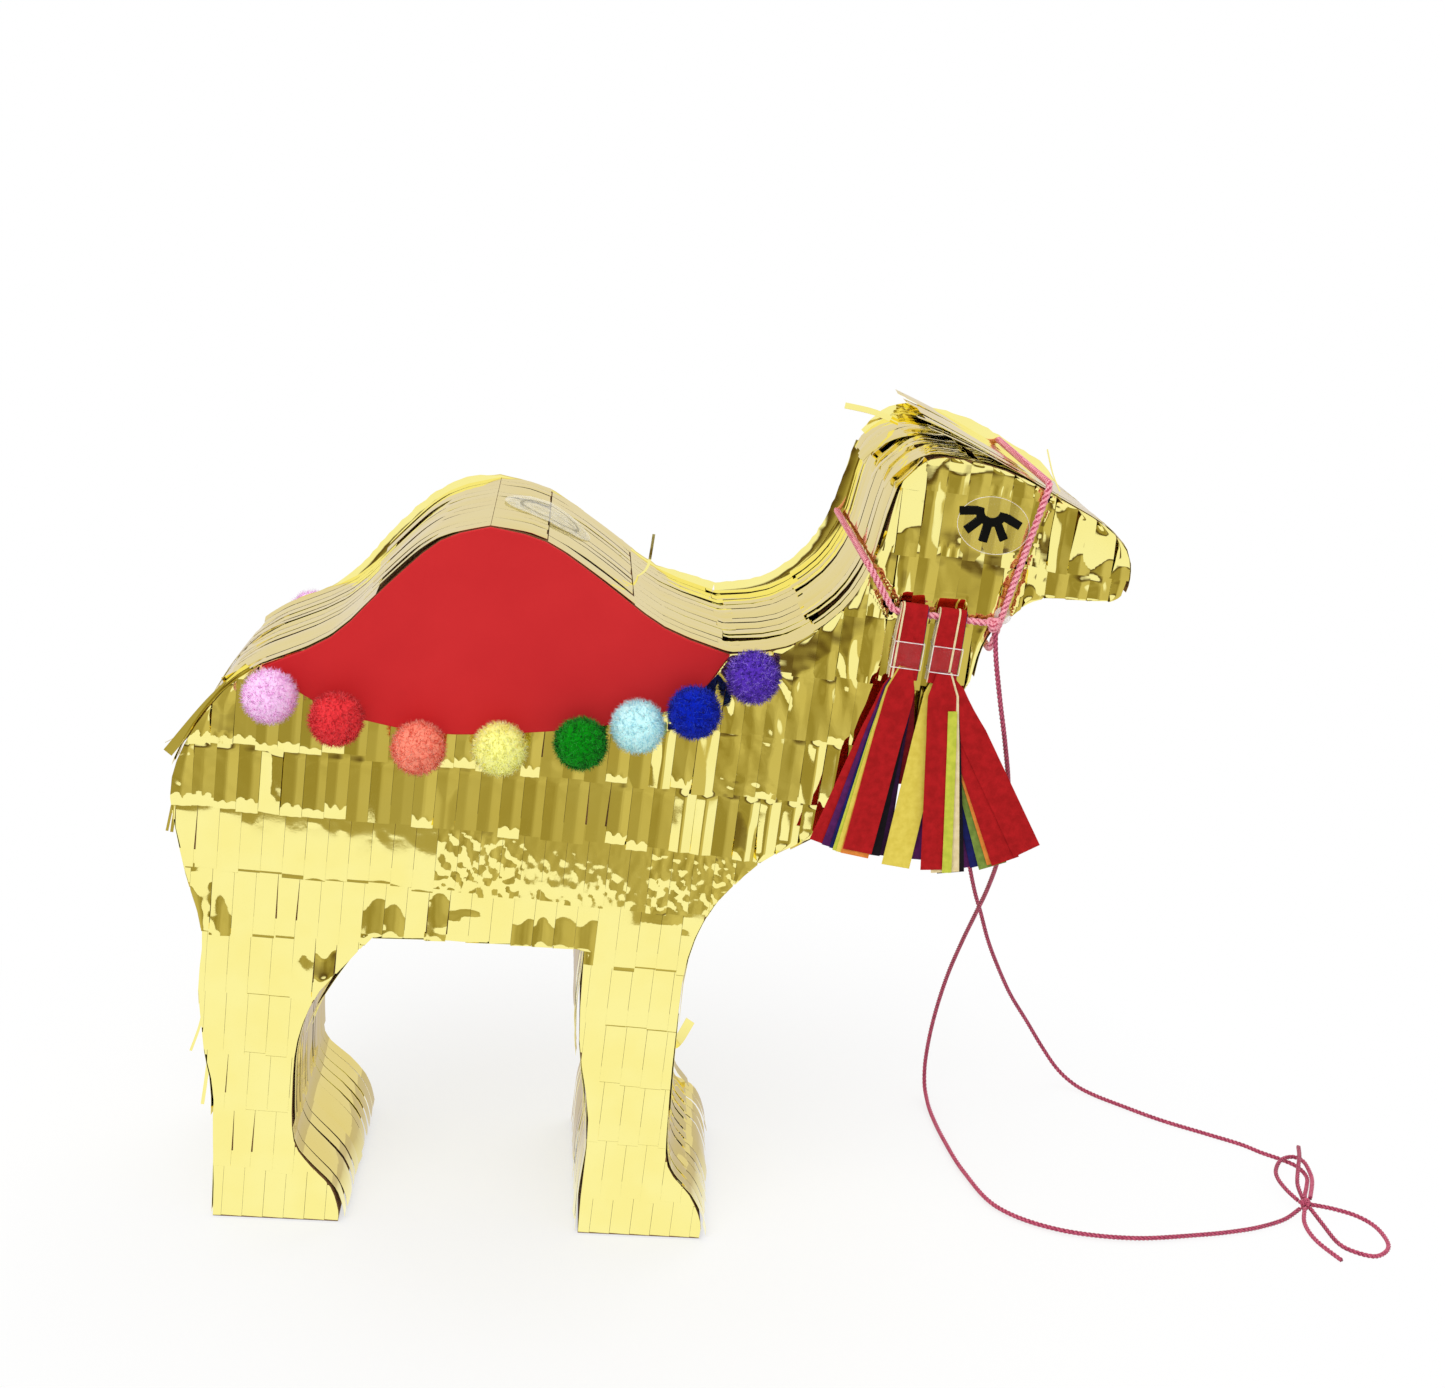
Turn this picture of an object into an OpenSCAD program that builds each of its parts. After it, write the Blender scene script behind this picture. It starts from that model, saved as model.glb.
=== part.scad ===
// Camel pinata: a hollow card body covered in rows of gold foil fringe, with a
// foam saddle edged with pompoms, a cord halter with tissue tassels, and a cord
// rein tied in a bow. Millimetres. X runs from the rump to the muzzle, Y to the
// camel's left, Z up from the ground under the soles.

/* [Body] */
// Length from the rump to the muzzle
body_length = 405; // [395:1:420]
// Width across the outsides of the two side panels
body_width = 111; // [100:1:125]
// Height of the top of the head
crown_height = 381; // [374:1:392]
// Height of the top of the hump
hump_height = 336; // [330:1:345]
// Height of the lowest point of the back, in front of the hump
dip_height = 288; // [283:1:292]
// Height of the root of the tail, where the saddle ends
tail_height = 268; // [262:1:272]
// Height of the belly
belly_height = 146; // [138:1:152]
// Distance of the top of the hump from the rump
hump_from_rump = 130; // [124:1:136]
// Distance of the lowest point of the back from the rump
dip_from_rump = 236; // [231:1:240]
// Distance of the front leg's rear edge from the rump
front_leg_from_rump = 191; // [186:1:196]
// Thickness of a side panel
panel_t = 3; // [2:0.5:5]
// Thickness of the card strips round the edge
strip_t = 2; // [1.5:0.25:3]

/* [Foil fringe] */
// Thickness of a row of fringe
foil_t = 0.4; // [0.3:0.05:0.6]
// Width of a fringe tab
tab_w = 9.5; // [8:0.5:12]
// Width of the cut between two tabs
slit_w = 0.6; // [0.4:0.1:1]
// Uncut band along the top of a row
header_h = 8; // [6:1:10]
// Distance from one side row to the next
row_pitch = 29.3; // [27:0.1:32]
// Length by which a row hangs over the next
row_overlap = 6; // [4:1:8]
// Slope of the side rows, down towards the head
row_slope = 2; // [0:0.5:3]
// Longest distance from one edge row to the next
edge_pitch = 62; // [45:1:75]
// Gap kept between two layers of fringe
layer_gap = 0.1; // [0.05:0.05:0.2]
// Height at which the edge fringe stops above the ground
foot_gap = 3; // [2:0.5:6]

/* [Filling flap] */
// Width of the flap across the back
flap_w = 86; // [70:1:92]
// Distance of the flap's free edge from the top of the hump, along the back
flap_from_top = 25; // [20:1:30]
// Length of the flap along the back
flap_l = 46; // [38:1:52]
// Gap round the flap
flap_gap = 0.5; // [0.3:0.1:1]
// Diameter of the clear sticker that holds the flap shut
sticker_d = 42; // [34:1:44]
// Thickness of the sticker
sticker_t = 0.2; // [0.15:0.05:0.4]

/* [Saddle] */
// Thickness of the foam saddle
saddle_t = 2; // [1.5:0.5:3]
// Depth of the saddle below the top of the hump
saddle_drop = 92.5; // [86:0.5:96]
// Diameter of a pompom
pompom_d = 24; // [18:0.5:25]
// Depth of the flat glued side of a pompom
pompom_flat = 2; // [1:0.5:3]

/* [Face] */
// Length of the clear eye sticker
eye_l = 32; // [28:1:36]
// Height of the clear eye sticker
eye_h = 25; // [22:1:28]
// Thickness of the eye sticker and of the lashes
decal_t = 0.2; // [0.15:0.05:0.4]
// Radius of the closed eyelid line
lid_r = 7.2; // [6:0.2:8]
// Width of a lash
lash_w = 3.6; // [2.6:0.2:4.2]
// Length of a lash
lash_l = 7; // [5:0.5:7.5]
// Tilt of the eyes, down towards the muzzle
eye_tilt = 10; // [0:1:15]

/* [Halter] */
// Diameter of the halter cord
halter_d = 3.2; // [2.6:0.1:3.6]
// Gap between the cord and the fringe
cord_gap = 0.6; // [0.4:0.1:1]
// Distance of the cheek cord's middle from the fringe
cheek_standoff = 4.6; // [4.4:0.1:6]
// Diameter of a halter knot
knot_d = 8; // [7:0.5:8.5]
// Diameter of the glue dab under a knot
glue_d = 10; // [8:0.5:12]

/* [Tassels] */
// Width of a tassel strip
tassel_w = 12; // [10:0.5:13]
// Length of a tassel from the cord to its tip
tassel_l = 118; // [100:1:125]
// Thickness of one tissue strip
tissue_t = 0.5; // [0.4:0.1:0.6]
// Thickness of the folded tissue over the cord
fold_t = 0.8; // [0.6:0.1:1]
// Clearance between the cord and the fold
swing_gap = 0.3; // [0.2:0.05:0.4]
// Height of the tape band
tape_h = 12; // [10:0.5:14]
// Distance of the tape's top from the cord
tape_drop = 12; // [10:0.5:14]
// Distance between the two tassels of a side
tassel_pitch = 17; // [16:0.5:18]

/* [Rein] */
// Diameter of the rein cord
rein_d = 2.4; // [2:0.1:2.6]
// Diameter of the knot of the bow
bow_knot_d = 8; // [7:0.5:9]

/* [Hidden] */
steps = 3;
seat = 0.05;
rump_x = -body_length / 2;
muzzle_x = body_length / 2;
hump_x = rump_x + hump_from_rump;
dip_x = rump_x + dip_from_rump;
poll_x = muzzle_x - 102;
leg_x = rump_x + front_leg_from_rump;

// Knots of the outline, a strip of card at a time, clockwise from the rear heel
rump_knots = [[rump_x + 21.5, 0], [rump_x + 21, 60], [rump_x + 16.5, 86],
    [rump_x + 13.5, belly_height - 30], [rump_x + 14.5, belly_height - 2], [rump_x + 6.5, belly_height + 26],
    [rump_x, belly_height + 60], [rump_x + 5.5, tail_height - 38], [rump_x + 21.5, tail_height - 13],
    [rump_x + 37, tail_height]];
rear_hump_knots = [[rump_x + 37, tail_height], [hump_x - 64.5, hump_height - 53],
    [hump_x - 42.5, hump_height - 29], [hump_x - 20.5, hump_height - 7.5], [hump_x, hump_height]];
front_hump_knots = [[hump_x, hump_height], [hump_x + 23.5, hump_height - 4.5], [hump_x + 50, hump_height - 20.5],
    [dip_x - 29, dip_height + 9.5], [dip_x, dip_height]];
neck_knots = [[dip_x, dip_height], [dip_x + 25.5, dip_height + 5], [dip_x + 47.5, dip_height + 22.5],
    [poll_x - 8.5, crown_height - 49], [poll_x - 3.5, crown_height - 26], [poll_x, crown_height - 12]];
crown_knots = [[poll_x, crown_height - 12], [poll_x + 9.5, crown_height - 2.5], [poll_x + 20, crown_height],
    [muzzle_x - 57.5, crown_height - 4], [muzzle_x - 33.5, crown_height - 14], [muzzle_x - 13.5, crown_height - 23.5],
    [muzzle_x - 2.5, crown_height - 33.5], [muzzle_x, crown_height - 45], [muzzle_x - 2, crown_height - 53.5],
    [muzzle_x - 7, crown_height - 56.5]];
throat_knots = [[muzzle_x - 7, crown_height - 56.5], [muzzle_x - 24, crown_height - 56.5],
    [muzzle_x - 39, crown_height - 57.5], [muzzle_x - 51, crown_height - 67], [muzzle_x - 59.5, crown_height - 80.5],
    [muzzle_x - 62.5, crown_height - 97.5]];
chest_knots = [[muzzle_x - 62.5, crown_height - 97.5], [leg_x + 135, belly_height + 107],
    [leg_x + 114, belly_height + 77.5], [leg_x + 89.5, belly_height + 61], [leg_x + 67.5, belly_height + 47],
    [leg_x + 49.5, belly_height + 25], [leg_x + 39.5, belly_height - 2.5], [leg_x + 37.5, 103], [leg_x + 37.5, 62],
    [leg_x + 39.5, 37.5], [leg_x + 51, 23], [leg_x + 57.5, 9], [leg_x + 57.5, 0]];
front_sole_knots = [[leg_x + 57.5, 0], [leg_x, 0]];
fore_leg_knots = [[leg_x, 0], [leg_x, 20], [leg_x + 0.5, 60], [leg_x - 6.5, 100], [leg_x - 7.5, belly_height]];
belly_knots = [[leg_x - 7.5, belly_height], [rump_x + 88.5, belly_height]];
hind_leg_knots = [[rump_x + 88.5, belly_height], [rump_x + 66.5, belly_height - 29], [rump_x + 57.5, 92],
    [rump_x + 56, 65], [rump_x + 57.5, 41], [rump_x + 65.5, 28.5], [rump_x + 75, 18], [rump_x + 79, 6],
    [rump_x + 79, 0]];
rear_sole_knots = [[rump_x + 79, 0], [rump_x + 21.5, 0]];

function curve(a, b, c, d, t) = 0.5 * (2 * b + (c - a) * t + (2 * a - 5 * b + 4 * c - d) * t * t
    + (3 * b - a - 3 * c + d) * t * t * t);
function spline(k, n) = concat([for (i = [0 : len(k) - 2]) for (j = [0 : n - 1])
    curve(k[max(i - 1, 0)], k[i], k[i + 1], k[min(i + 2, len(k) - 1)], j / n)], [k[len(k) - 1]]);
function drop_last(p) = [for (i = [0 : len(p) - 2]) p[i]];
function reversed(p) = [for (i = [len(p) - 1 : -1 : 0]) p[i]];
function unit(v) = v / norm(v);
function total(v, n) = n == 0 ? 0 : v[n - 1] + total(v, n - 1);

paths = [spline(rump_knots, steps), spline(rear_hump_knots, steps), spline(front_hump_knots, steps),
    spline(neck_knots, steps), spline(crown_knots, steps), spline(throat_knots, steps), spline(chest_knots, steps),
    front_sole_knots, spline(fore_leg_knots, steps), belly_knots, spline(hind_leg_knots, steps), rear_sole_knots];
RUMP = 0;
REAR_HUMP = 1;
FRONT_HUMP = 2;
NECK = 3;
CROWN = 4;
THROAT = 5;
CHEST = 6;
FRONT_SOLE = 7;
FORE_LEG = 8;
BELLY = 9;
HIND_LEG = 10;
REAR_SOLE = 11;
outline = [for (p = paths) each drop_last(p)];
count = len(outline);
starts = [for (i = [0 : len(paths)]) total([for (p = paths) len(p) - 1], i)];

// Outward normals of the outline's edges, and the mitre at each corner
edge_normals = [for (i = [0 : count - 1]) let (d = unit(outline[(i + 1) % count] - outline[i])) [-d[1], d[0]]];
mitres = [for (i = [0 : count - 1]) let (a = edge_normals[(i + count - 1) % count], b = edge_normals[i])
    (a + b) / (1 + a * b)];
edge_lengths = [for (i = [0 : count - 1]) norm(outline[(i + 1) % count] - outline[i])];
// Distance of each corner along the outline
along = [for (i = 0, s = 0; i <= count; s = s + edge_lengths[i % count], i = i + 1) s];

function shifted(i, d) = outline[i % count] + d * mitres[i % count];
function edge_at(s) = max([for (i = [0 : count - 1]) if (along[i] <= s) i]);
function placed(s, d) = let (k = edge_at(s), f = (s - along[k]) / edge_lengths[k])
    outline[k] + f * (outline[(k + 1) % count] - outline[k]) + d * edge_normals[k];
// Line beside the outline from s0 to s1, at a distance that goes from d0 to d1
function rail(s0, s1, d0, d1) = concat([placed(s0, d0)],
    [for (i = [0 : count - 1]) if (along[i] > s0 + 0.2 && along[i] < s1 - 0.2)
        shifted(i, d0 + (d1 - d0) * (along[i] - s0) / (s1 - s0))],
    [placed(s1 - 0.001, d1)]);
function ribbon(s0, s1, d0, d1, t) = concat(rail(s0, s1, d0, d1), reversed(rail(s0, s1, d0 + t, d1 + t)));

half_w = body_width / 2;
inner_w = body_width - 2 * panel_t;
side_rise = (foil_t + layer_gap) / row_pitch;
side_zone = seat + (row_pitch + row_overlap) * side_rise + foil_t + layer_gap;
side_y = half_w + side_zone;
edge_zone = seat + 1.25 * (foil_t + layer_gap) + foil_t + layer_gap;

// Filling flap, as distances along the outline
flap_s0 = along[starts[FRONT_HUMP]] + flap_from_top;
flap_s1 = flap_s0 + flap_l;
hinge_xz = placed(flap_s1, edge_zone);

module across(w) {
    rotate([90, 0, 0]) linear_extrude(height = w, center = true) children();
}

module card_strip(p) {
    i0 = starts[p];
    i1 = starts[p + 1];
    across(inner_w) polygon(concat([for (i = [i0 : i1]) shifted(i, 0)], [for (i = [i1 : -1 : i0]) shifted(i, -strip_t)]));
}

module on_right(y) {
    translate([0, -y, 0]) rotate([90, 0, 0]) children();
}

module both_sides() {
    children();
    mirror([0, 1, 0]) children();
}

// Carcass
module right_side_panel() color("BurlyWood") on_right(half_w - panel_t) linear_extrude(height = panel_t) polygon(outline);
module left_side_panel() color("BurlyWood") mirror([0, 1, 0]) on_right(half_w - panel_t) linear_extrude(height = panel_t) polygon(outline);
module rump_strip() color("Tan") card_strip(RUMP);
module rear_hump_strip() color("Tan") card_strip(REAR_HUMP);
module front_hump_strip() color("Tan") difference() {
    card_strip(FRONT_HUMP);
    across(flap_w + 2 * flap_gap) polygon(ribbon(flap_s0 - flap_gap, flap_s1 + flap_gap, -strip_t - 1, -strip_t - 1, strip_t + 2));
}
module neck_strip() color("Tan") card_strip(NECK);
module crown_strip() color("Tan") card_strip(CROWN);
module throat_strip() color("Tan") card_strip(THROAT);
module chest_strip() color("Tan") card_strip(CHEST);
module front_sole() color("Tan") card_strip(FRONT_SOLE);
module fore_leg_strip() color("Tan") card_strip(FORE_LEG);
module belly_strip() color("Tan") card_strip(BELLY);
module hind_leg_strip() color("Tan") card_strip(HIND_LEG);
module rear_sole() color("Tan") card_strip(REAR_SOLE);

// One row of fringe round the edge: dir 1 hangs along the outline, -1 against it
tab_count = round(body_width / (tab_w * 1.17));
module edge_row(s0, s1, dir, w = body_width, tabs = tab_count) {
    rise = foil_t + layer_gap;
    d0 = dir > 0 ? seat : seat + 1.2 * rise;
    d1 = dir > 0 ? seat + 1.2 * rise : seat;
    a = dir > 0 ? s0 + header_h : s0 - 1;
    b = dir > 0 ? s1 + 1 : s1 - header_h;
    difference() {
        across(w) polygon(ribbon(s0, s1, d0, d1, foil_t));
        for (k = [1 : tabs - 1]) translate([0, -w / 2 + k * w / tabs, 0])
            across(slit_w) polygon(ribbon(a, b, seat - 0.4, seat - 0.4, 2.2 * rise + foil_t + 0.8));
    }
}

// Rows of fringe from s0 to s1, each hanging over the next
module edge_rows(s0, s1, dir) {
    n = ceil((s1 - s0) / edge_pitch);
    pitch = (s1 - s0) / n;
    for (k = [0 : n - 1]) {
        if (dir > 0) edge_row(s0 + k * pitch, min(s0 + (k + 1) * pitch + row_overlap, s1), 1);
        else edge_row(max(s1 - (k + 1) * pitch - row_overlap, s0), s1 - k * pitch, -1);
    }
}
function from(p) = along[starts[p]] + 0.4;
function to(p) = along[starts[p + 1]] - 0.4;

module rump_fringe() color("Gold") edge_rows(from(RUMP) + foot_gap, to(RUMP), -1);
module hump_fringe() color("Gold") {
    edge_rows(from(REAR_HUMP), to(REAR_HUMP), -1);
    edge_row(from(FRONT_HUMP), flap_s0 - flap_gap, 1);
    border = (body_width - flap_w) / 2 - flap_gap;
    both_sides() translate([0, half_w - border / 2, 0])
        across(border) polygon(ribbon(flap_s0, flap_s1, seat, seat + foil_t, foil_t));
    edge_row(flap_s1 + 2 * edge_zone, to(FRONT_HUMP), 1);
}
module neck_fringe() color("Gold") edge_rows(from(NECK), to(NECK), -1);
module crown_fringe() color("Gold") edge_rows(from(CROWN), to(CROWN), -1);
module throat_fringe() color("Gold") edge_rows(from(THROAT), to(THROAT), 1);
module chest_fringe() color("Gold") edge_rows(from(CHEST), to(CHEST) - foot_gap, 1);
module belly_fringe() color("Gold") {
    edge_rows(from(FORE_LEG) + foot_gap, to(FORE_LEG), -1);
    edge_rows(from(BELLY) + 1, to(BELLY) - 1, 1);
    edge_rows(from(HIND_LEG), to(HIND_LEG) - foot_gap, 1);
}

// Filling flap, with its fringe and the clear sticker over its free edge
module fill_flap() color("Tan") across(flap_w) polygon(ribbon(flap_s0, flap_s1, -strip_t, -strip_t, strip_t));
module flap_fringe() color("Gold") edge_row(flap_s0, flap_s1 - 2, 1, flap_w, tab_count - 2);
module seal_sticker() {
    c = placed(flap_s0, 0);
    n = edge_normals[edge_at(flap_s0)];
    color("LightBlue", 0.4) intersection() {
        across(sticker_d + 2) polygon(ribbon(flap_s0 - sticker_d, flap_s0 + sticker_d, edge_zone + 0.1, edge_zone + 0.1, sticker_t));
        translate([c[0], 0, c[1]]) rotate([0, atan2(n[0], n[1]), 0]) translate([0, 0, -20]) cylinder(h = 60, d = sticker_d, $fn = 64);
    }
}

// Comb of one side row, from x0 to x1, with its top edge at 0
module comb(x0, x1) {
    n = floor((x1 - x0) / tab_w);
    low = -row_pitch - row_overlap;
    polygon(concat([[x0, 0], [x1, 0]], [for (k = [n : -1 : 0]) each [
        [min(x0 + (k + 1) * tab_w - slit_w / 2, x1), low], [x0 + k * tab_w + slit_w / 2, low],
        [x0 + k * tab_w + slit_w / 2, -header_h], [max(x0 + k * tab_w - slit_w / 2, x0), -header_h]]]));
}

// Side row k, kept inside the box from low to high
module side_row(k, low, high) {
    z = crown_height - k * row_pitch - 1;
    on_right(half_w + seat) translate([0, z, 0]) rotate(-row_slope) rotate([-atan(side_rise), 0, 0])
        linear_extrude(height = foil_t) intersection() {
            rotate(row_slope) translate([0, -z]) polygon(outline);
            rotate(row_slope) translate([low[0], low[1] - z]) square(high - low);
            comb(rump_x - 10, muzzle_x + 20);
        }
}
mid_x = (leg_x + rump_x + 80) / 2;
far = [body_length, crown_height + 50];
// First row below the dip of the back, and first row that is all leg
body_row = ceil((crown_height - dip_height) / row_pitch);
leg_row = ceil((crown_height - belly_height) / row_pitch);
last_row = floor((crown_height - 6) / row_pitch);
module head_rows() for (k = [0 : body_row]) side_row(k, [dip_x, 0], far);
module body_rows() {
    for (k = [1 : body_row]) side_row(k, [-body_length, 0], [dip_x - slit_w, far[1]]);
    for (k = [body_row + 1 : leg_row]) side_row(k, [-body_length, 0], far);
}
module fore_rows() for (k = [leg_row + 1 : last_row]) side_row(k, [mid_x, foot_gap], far);
module hind_rows() for (k = [leg_row + 1 : last_row]) side_row(k, [-body_length, foot_gap], [mid_x, far[1]]);
module right_head_fringe() color("Gold") head_rows();
module left_head_fringe() color("Gold") mirror([0, 1, 0]) head_rows();
module right_body_fringe() color("Gold") body_rows();
module left_body_fringe() color("Gold") mirror([0, 1, 0]) body_rows();
module right_fore_fringe() color("Gold") fore_rows();
module left_fore_fringe() color("Gold") mirror([0, 1, 0]) fore_rows();
module right_hind_fringe() color("Gold") hind_rows();
module left_hind_fringe() color("Gold") mirror([0, 1, 0]) hind_rows();

// Foam saddle, its top edge on the back, and the pompoms along its hem
hem_z = hump_height - saddle_drop;
hem_knots = [[rump_x + 37, tail_height], [rump_x + 62, hem_z + 9.5], [rump_x + 88, hem_z + 2.5], [hump_x - 10, hem_z],
    [hump_x + 44, hem_z + 6.5], [dip_x - 28, hem_z + 16], [dip_x - 13, hem_z + 25], [dip_x, dip_height]];
hem = spline(hem_knots, 4);
hem_along = [for (i = 0, s = 0; i < len(hem); s = s + norm(hem[min(i + 1, len(hem) - 1)] - hem[i]), i = i + 1) s];
hem_length = hem_along[len(hem) - 1];
// Places of the pompoms, as shares of the hem from the tail to the dip
hem_shares = [0.028, 0.173, 0.337, 0.495, 0.654, 0.766, 0.888, 0.999];
function hem_at(f) = let (s = min(max(f, 0), 0.999) * hem_length,
    k = max([for (i = [0 : len(hem) - 2]) if (hem_along[i] <= s) i]), d = hem[k + 1] - hem[k])
    hem[k] + d * (s - hem_along[k]) / norm(d);
saddle_y = side_y + 0.2;
module saddle() on_right(saddle_y) linear_extrude(height = saddle_t)
    polygon(concat([for (i = [starts[REAR_HUMP] : starts[NECK]]) outline[i]],
        [for (i = [len(hem) - 2 : -1 : 1]) hem[i]]));
module right_saddle() color("FireBrick") saddle();
module left_saddle() color("FireBrick") mirror([0, 1, 0]) saddle();
// A pompom on each side, the left one lower by drop
module pompom(k, lift, ahead = 0, drop = 0) {
    c = hem_at(hem_shares[k]) + [ahead, 0];
    r = pompom_d / 2;
    for (left = [0, 1]) mirror([0, left, 0]) translate([c[0], -saddle_y - saddle_t - 0.05, c[1] + lift - left * drop]) intersection() {
        translate([0, -r + pompom_flat, 0]) sphere(d = pompom_d, $fn = 48);
        translate([-r, -2 * r, -r]) cube(2 * r);
    }
}
module pompom_pink() color("HotPink") pompom(0, -6.5);
module pompom_red() color("Crimson") pompom(1, 0);
module pompom_coral() color("Coral") pompom(2, -4);
module pompom_yellow() color("Yellow") pompom(3, -3.5);
module pompom_green() color("LimeGreen") pompom(4, -3.5);
module pompom_sky() color("DeepSkyBlue") pompom(5, 0);
module pompom_navy() color("MidnightBlue") pompom(6, -3.5);
module pompom_purple() color("Purple") pompom(7, -6, 10, 11);

// Closed eyes: a clear sticker with a lid line and lashes on it
eye_c = [poll_x + 40.5, crown_height - 27.5];
lid_c = eye_c + [-1.2, 6.6];
module eye_stickers() color("Gold", 0.5) both_sides() on_right(side_y + 0.1) translate(eye_c) rotate(-eye_tilt)
    linear_extrude(height = decal_t) polygon([for (a = [0 : 10 : 350]) [eye_l / 2 * cos(a), eye_h / 2 * sin(a)]]);
module eye_lashes() color("Black") both_sides() on_right(side_y + 0.15 + decal_t) translate(lid_c) rotate(-eye_tilt) linear_extrude(height = decal_t) {
    polygon(concat([for (a = [180 : 12 : 360]) lid_r * [cos(a), sin(a)]], [for (a = [360 : -12 : 180]) (lid_r - lash_w) * [cos(a), sin(a)]]));
    for (a = [195 : 37.5 : 345]) rotate(a) translate([lid_r - 1, -lash_w / 2]) square([lash_l + 1, lash_w]);
}

// Halter of cord: round the muzzle, and from the knots back round the neck
halter_r = halter_d / 2;
edge_off = edge_zone + halter_r + cord_gap;
nose_i = starts[CROWN] + 4 * steps - 1;
jaw_i = starts[THROAT] + 4 * steps;
nape_i = starts[NECK] + 3 * steps;
nose = shifted(nose_i, edge_off);
jaw = shifted(jaw_i, edge_off);
nape = shifted(nape_i, edge_off);
rise_dir = unit(nose - jaw);
knot_c = jaw + 12.3 * rise_dir - [3, 0];
cheek = [poll_x + 1, crown_height - 66.9];
cheek_y = side_y + cheek_standoff;
cord_y = side_y + halter_r + cord_gap;
cheek_dir = unit(knot_c - cheek);
function on_y(p, y) = [p[0], y, p[1]];
// Rounds a corner of a route
function bend(a, p, b, c) = let (u = p + c * unit(a - p), v = p + c * unit(b - p))
    [for (t = [0 : 0.2 : 1]) (1 - t) * (1 - t) * u + 2 * t * (1 - t) * p + t * t * v];
function mirrored(r) = [for (i = [len(r) - 1 : -1 : 0]) [r[i][0], -r[i][1], r[i][2]]];
nose_half = concat([on_y(jaw, 0)], bend(on_y(jaw, 0), on_y(jaw, -cord_y), on_y(nose, -cord_y), 3.5),
    bend(on_y(jaw, -cord_y), on_y(nose, -cord_y), on_y(nose, 0), 3.5), [on_y(nose, 0)]);
nose_route = concat(nose_half, [for (i = [len(nose_half) - 2 : -1 : 1]) [nose_half[i][0], -nose_half[i][1], nose_half[i][2]]]);
strap_half = concat([on_y(knot_c - (knot_d / 2 - 0.6) * cheek_dir, -cheek_y)],
    bend(on_y(knot_c, -cheek_y), on_y(cheek, -cheek_y), on_y(nape, -cord_y), 2),
    bend(on_y(cheek, -cheek_y), on_y(nape, -cord_y), on_y(nape, 0), 3.5));
strap_route = concat(strap_half, mirrored(strap_half));

function tangents(r, closed) = let (n = len(r)) [for (i = [0 : n - 1])
    unit(closed ? r[(i + 1) % n] - r[(i + n - 1) % n] : r[min(i + 1, n - 1)] - r[max(i - 1, 0)])];
function any_normal(t) = unit(cross(t, abs(t[2]) < 0.8 ? [0, 0, 1] : [1, 0, 0]));
function carried(t, i, n) = unit(n - (n * t[i]) * t[i]);
function normals(t) = [for (i = 0, n = any_normal(t[0]); i < len(t); i = i + 1, n = i < len(t) ? carried(t, i, n) : n) n];
// Round cord swept along a route
module cord(r, d, sides, closed = false) {
    t = tangents(r, closed);
    u = normals(t);
    n = len(r);
    points = [for (i = [0 : n - 1]) for (k = [0 : sides - 1]) let (a = 360 * k / sides)
        r[i] + d / 2 * (cos(a) * u[i] + sin(a) * cross(t[i], u[i]))];
    rings = closed ? n : n - 1;
    faces = concat([for (i = [0 : rings - 1]) for (k = [0 : sides - 1]) let (j = (i + 1) % n, m = (k + 1) % sides)
        each [[i * sides + k, i * sides + m, j * sides + m], [i * sides + k, j * sides + m, j * sides + k]]],
        closed ? [] : [[for (k = [sides - 1 : -1 : 0]) k], [for (k = [0 : sides - 1]) (n - 1) * sides + k]]);
    polyhedron(points = points, faces = [for (f = faces) reversed(f)]);
}
module noseband() color("Pink") cord(nose_route, halter_d, 10, true);
module neck_strap() color("Pink") cord(strap_route, halter_d, 10);
module halter_knots() color("Pink") both_sides() translate(on_y(knot_c, -cheek_y)) rotate([0, 25, 0]) rotate_extrude($fn = 48)
    intersection() {
        union() {
            circle(d = knot_d * 0.92);
            for (z = [-1, 1]) translate([knot_d * 0.25, z * knot_d * 0.24]) circle(d = knot_d * 0.5);
        }
        translate([0, -knot_d]) square(2 * knot_d);
    }
module glue_dabs() color("White", 0.6) both_sides() translate(on_y(knot_c + [4.5, 3], -side_y - 0.05)) intersection() {
    translate([0, glue_d * 0.3, 0]) sphere(d = glue_d, $fn = 48);
    translate([-glue_d, -glue_d, -glue_d]) cube([2 * glue_d, glue_d, 2 * glue_d]);
}

// Tassels: tissue strips folded over the cheek cord and bound with tape
hole_r = halter_r + swing_gap;
fan_z = -tape_drop - tape_h + 0.5;
front_y = hole_r + fold_t + layer_gap;
cheek_tilt = -atan2(cheek_dir[1], cheek_dir[0]);
// Tilt of each strip, front to back: two over the fold, four inside it, one behind
rear_fan = [-8, -20, -17, -14, -5.5, -4, -2.5];
front_fan = [5.5, 31, -5, 11, 20, 15, 26];
function layer_y(k) = k < 2 ? -front_y - (2 - k) * (tissue_t + layer_gap)
    : k < 6 ? (k - 3.5) * (tissue_t + layer_gap) * 1.25 - tissue_t / 2 : front_y;
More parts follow.
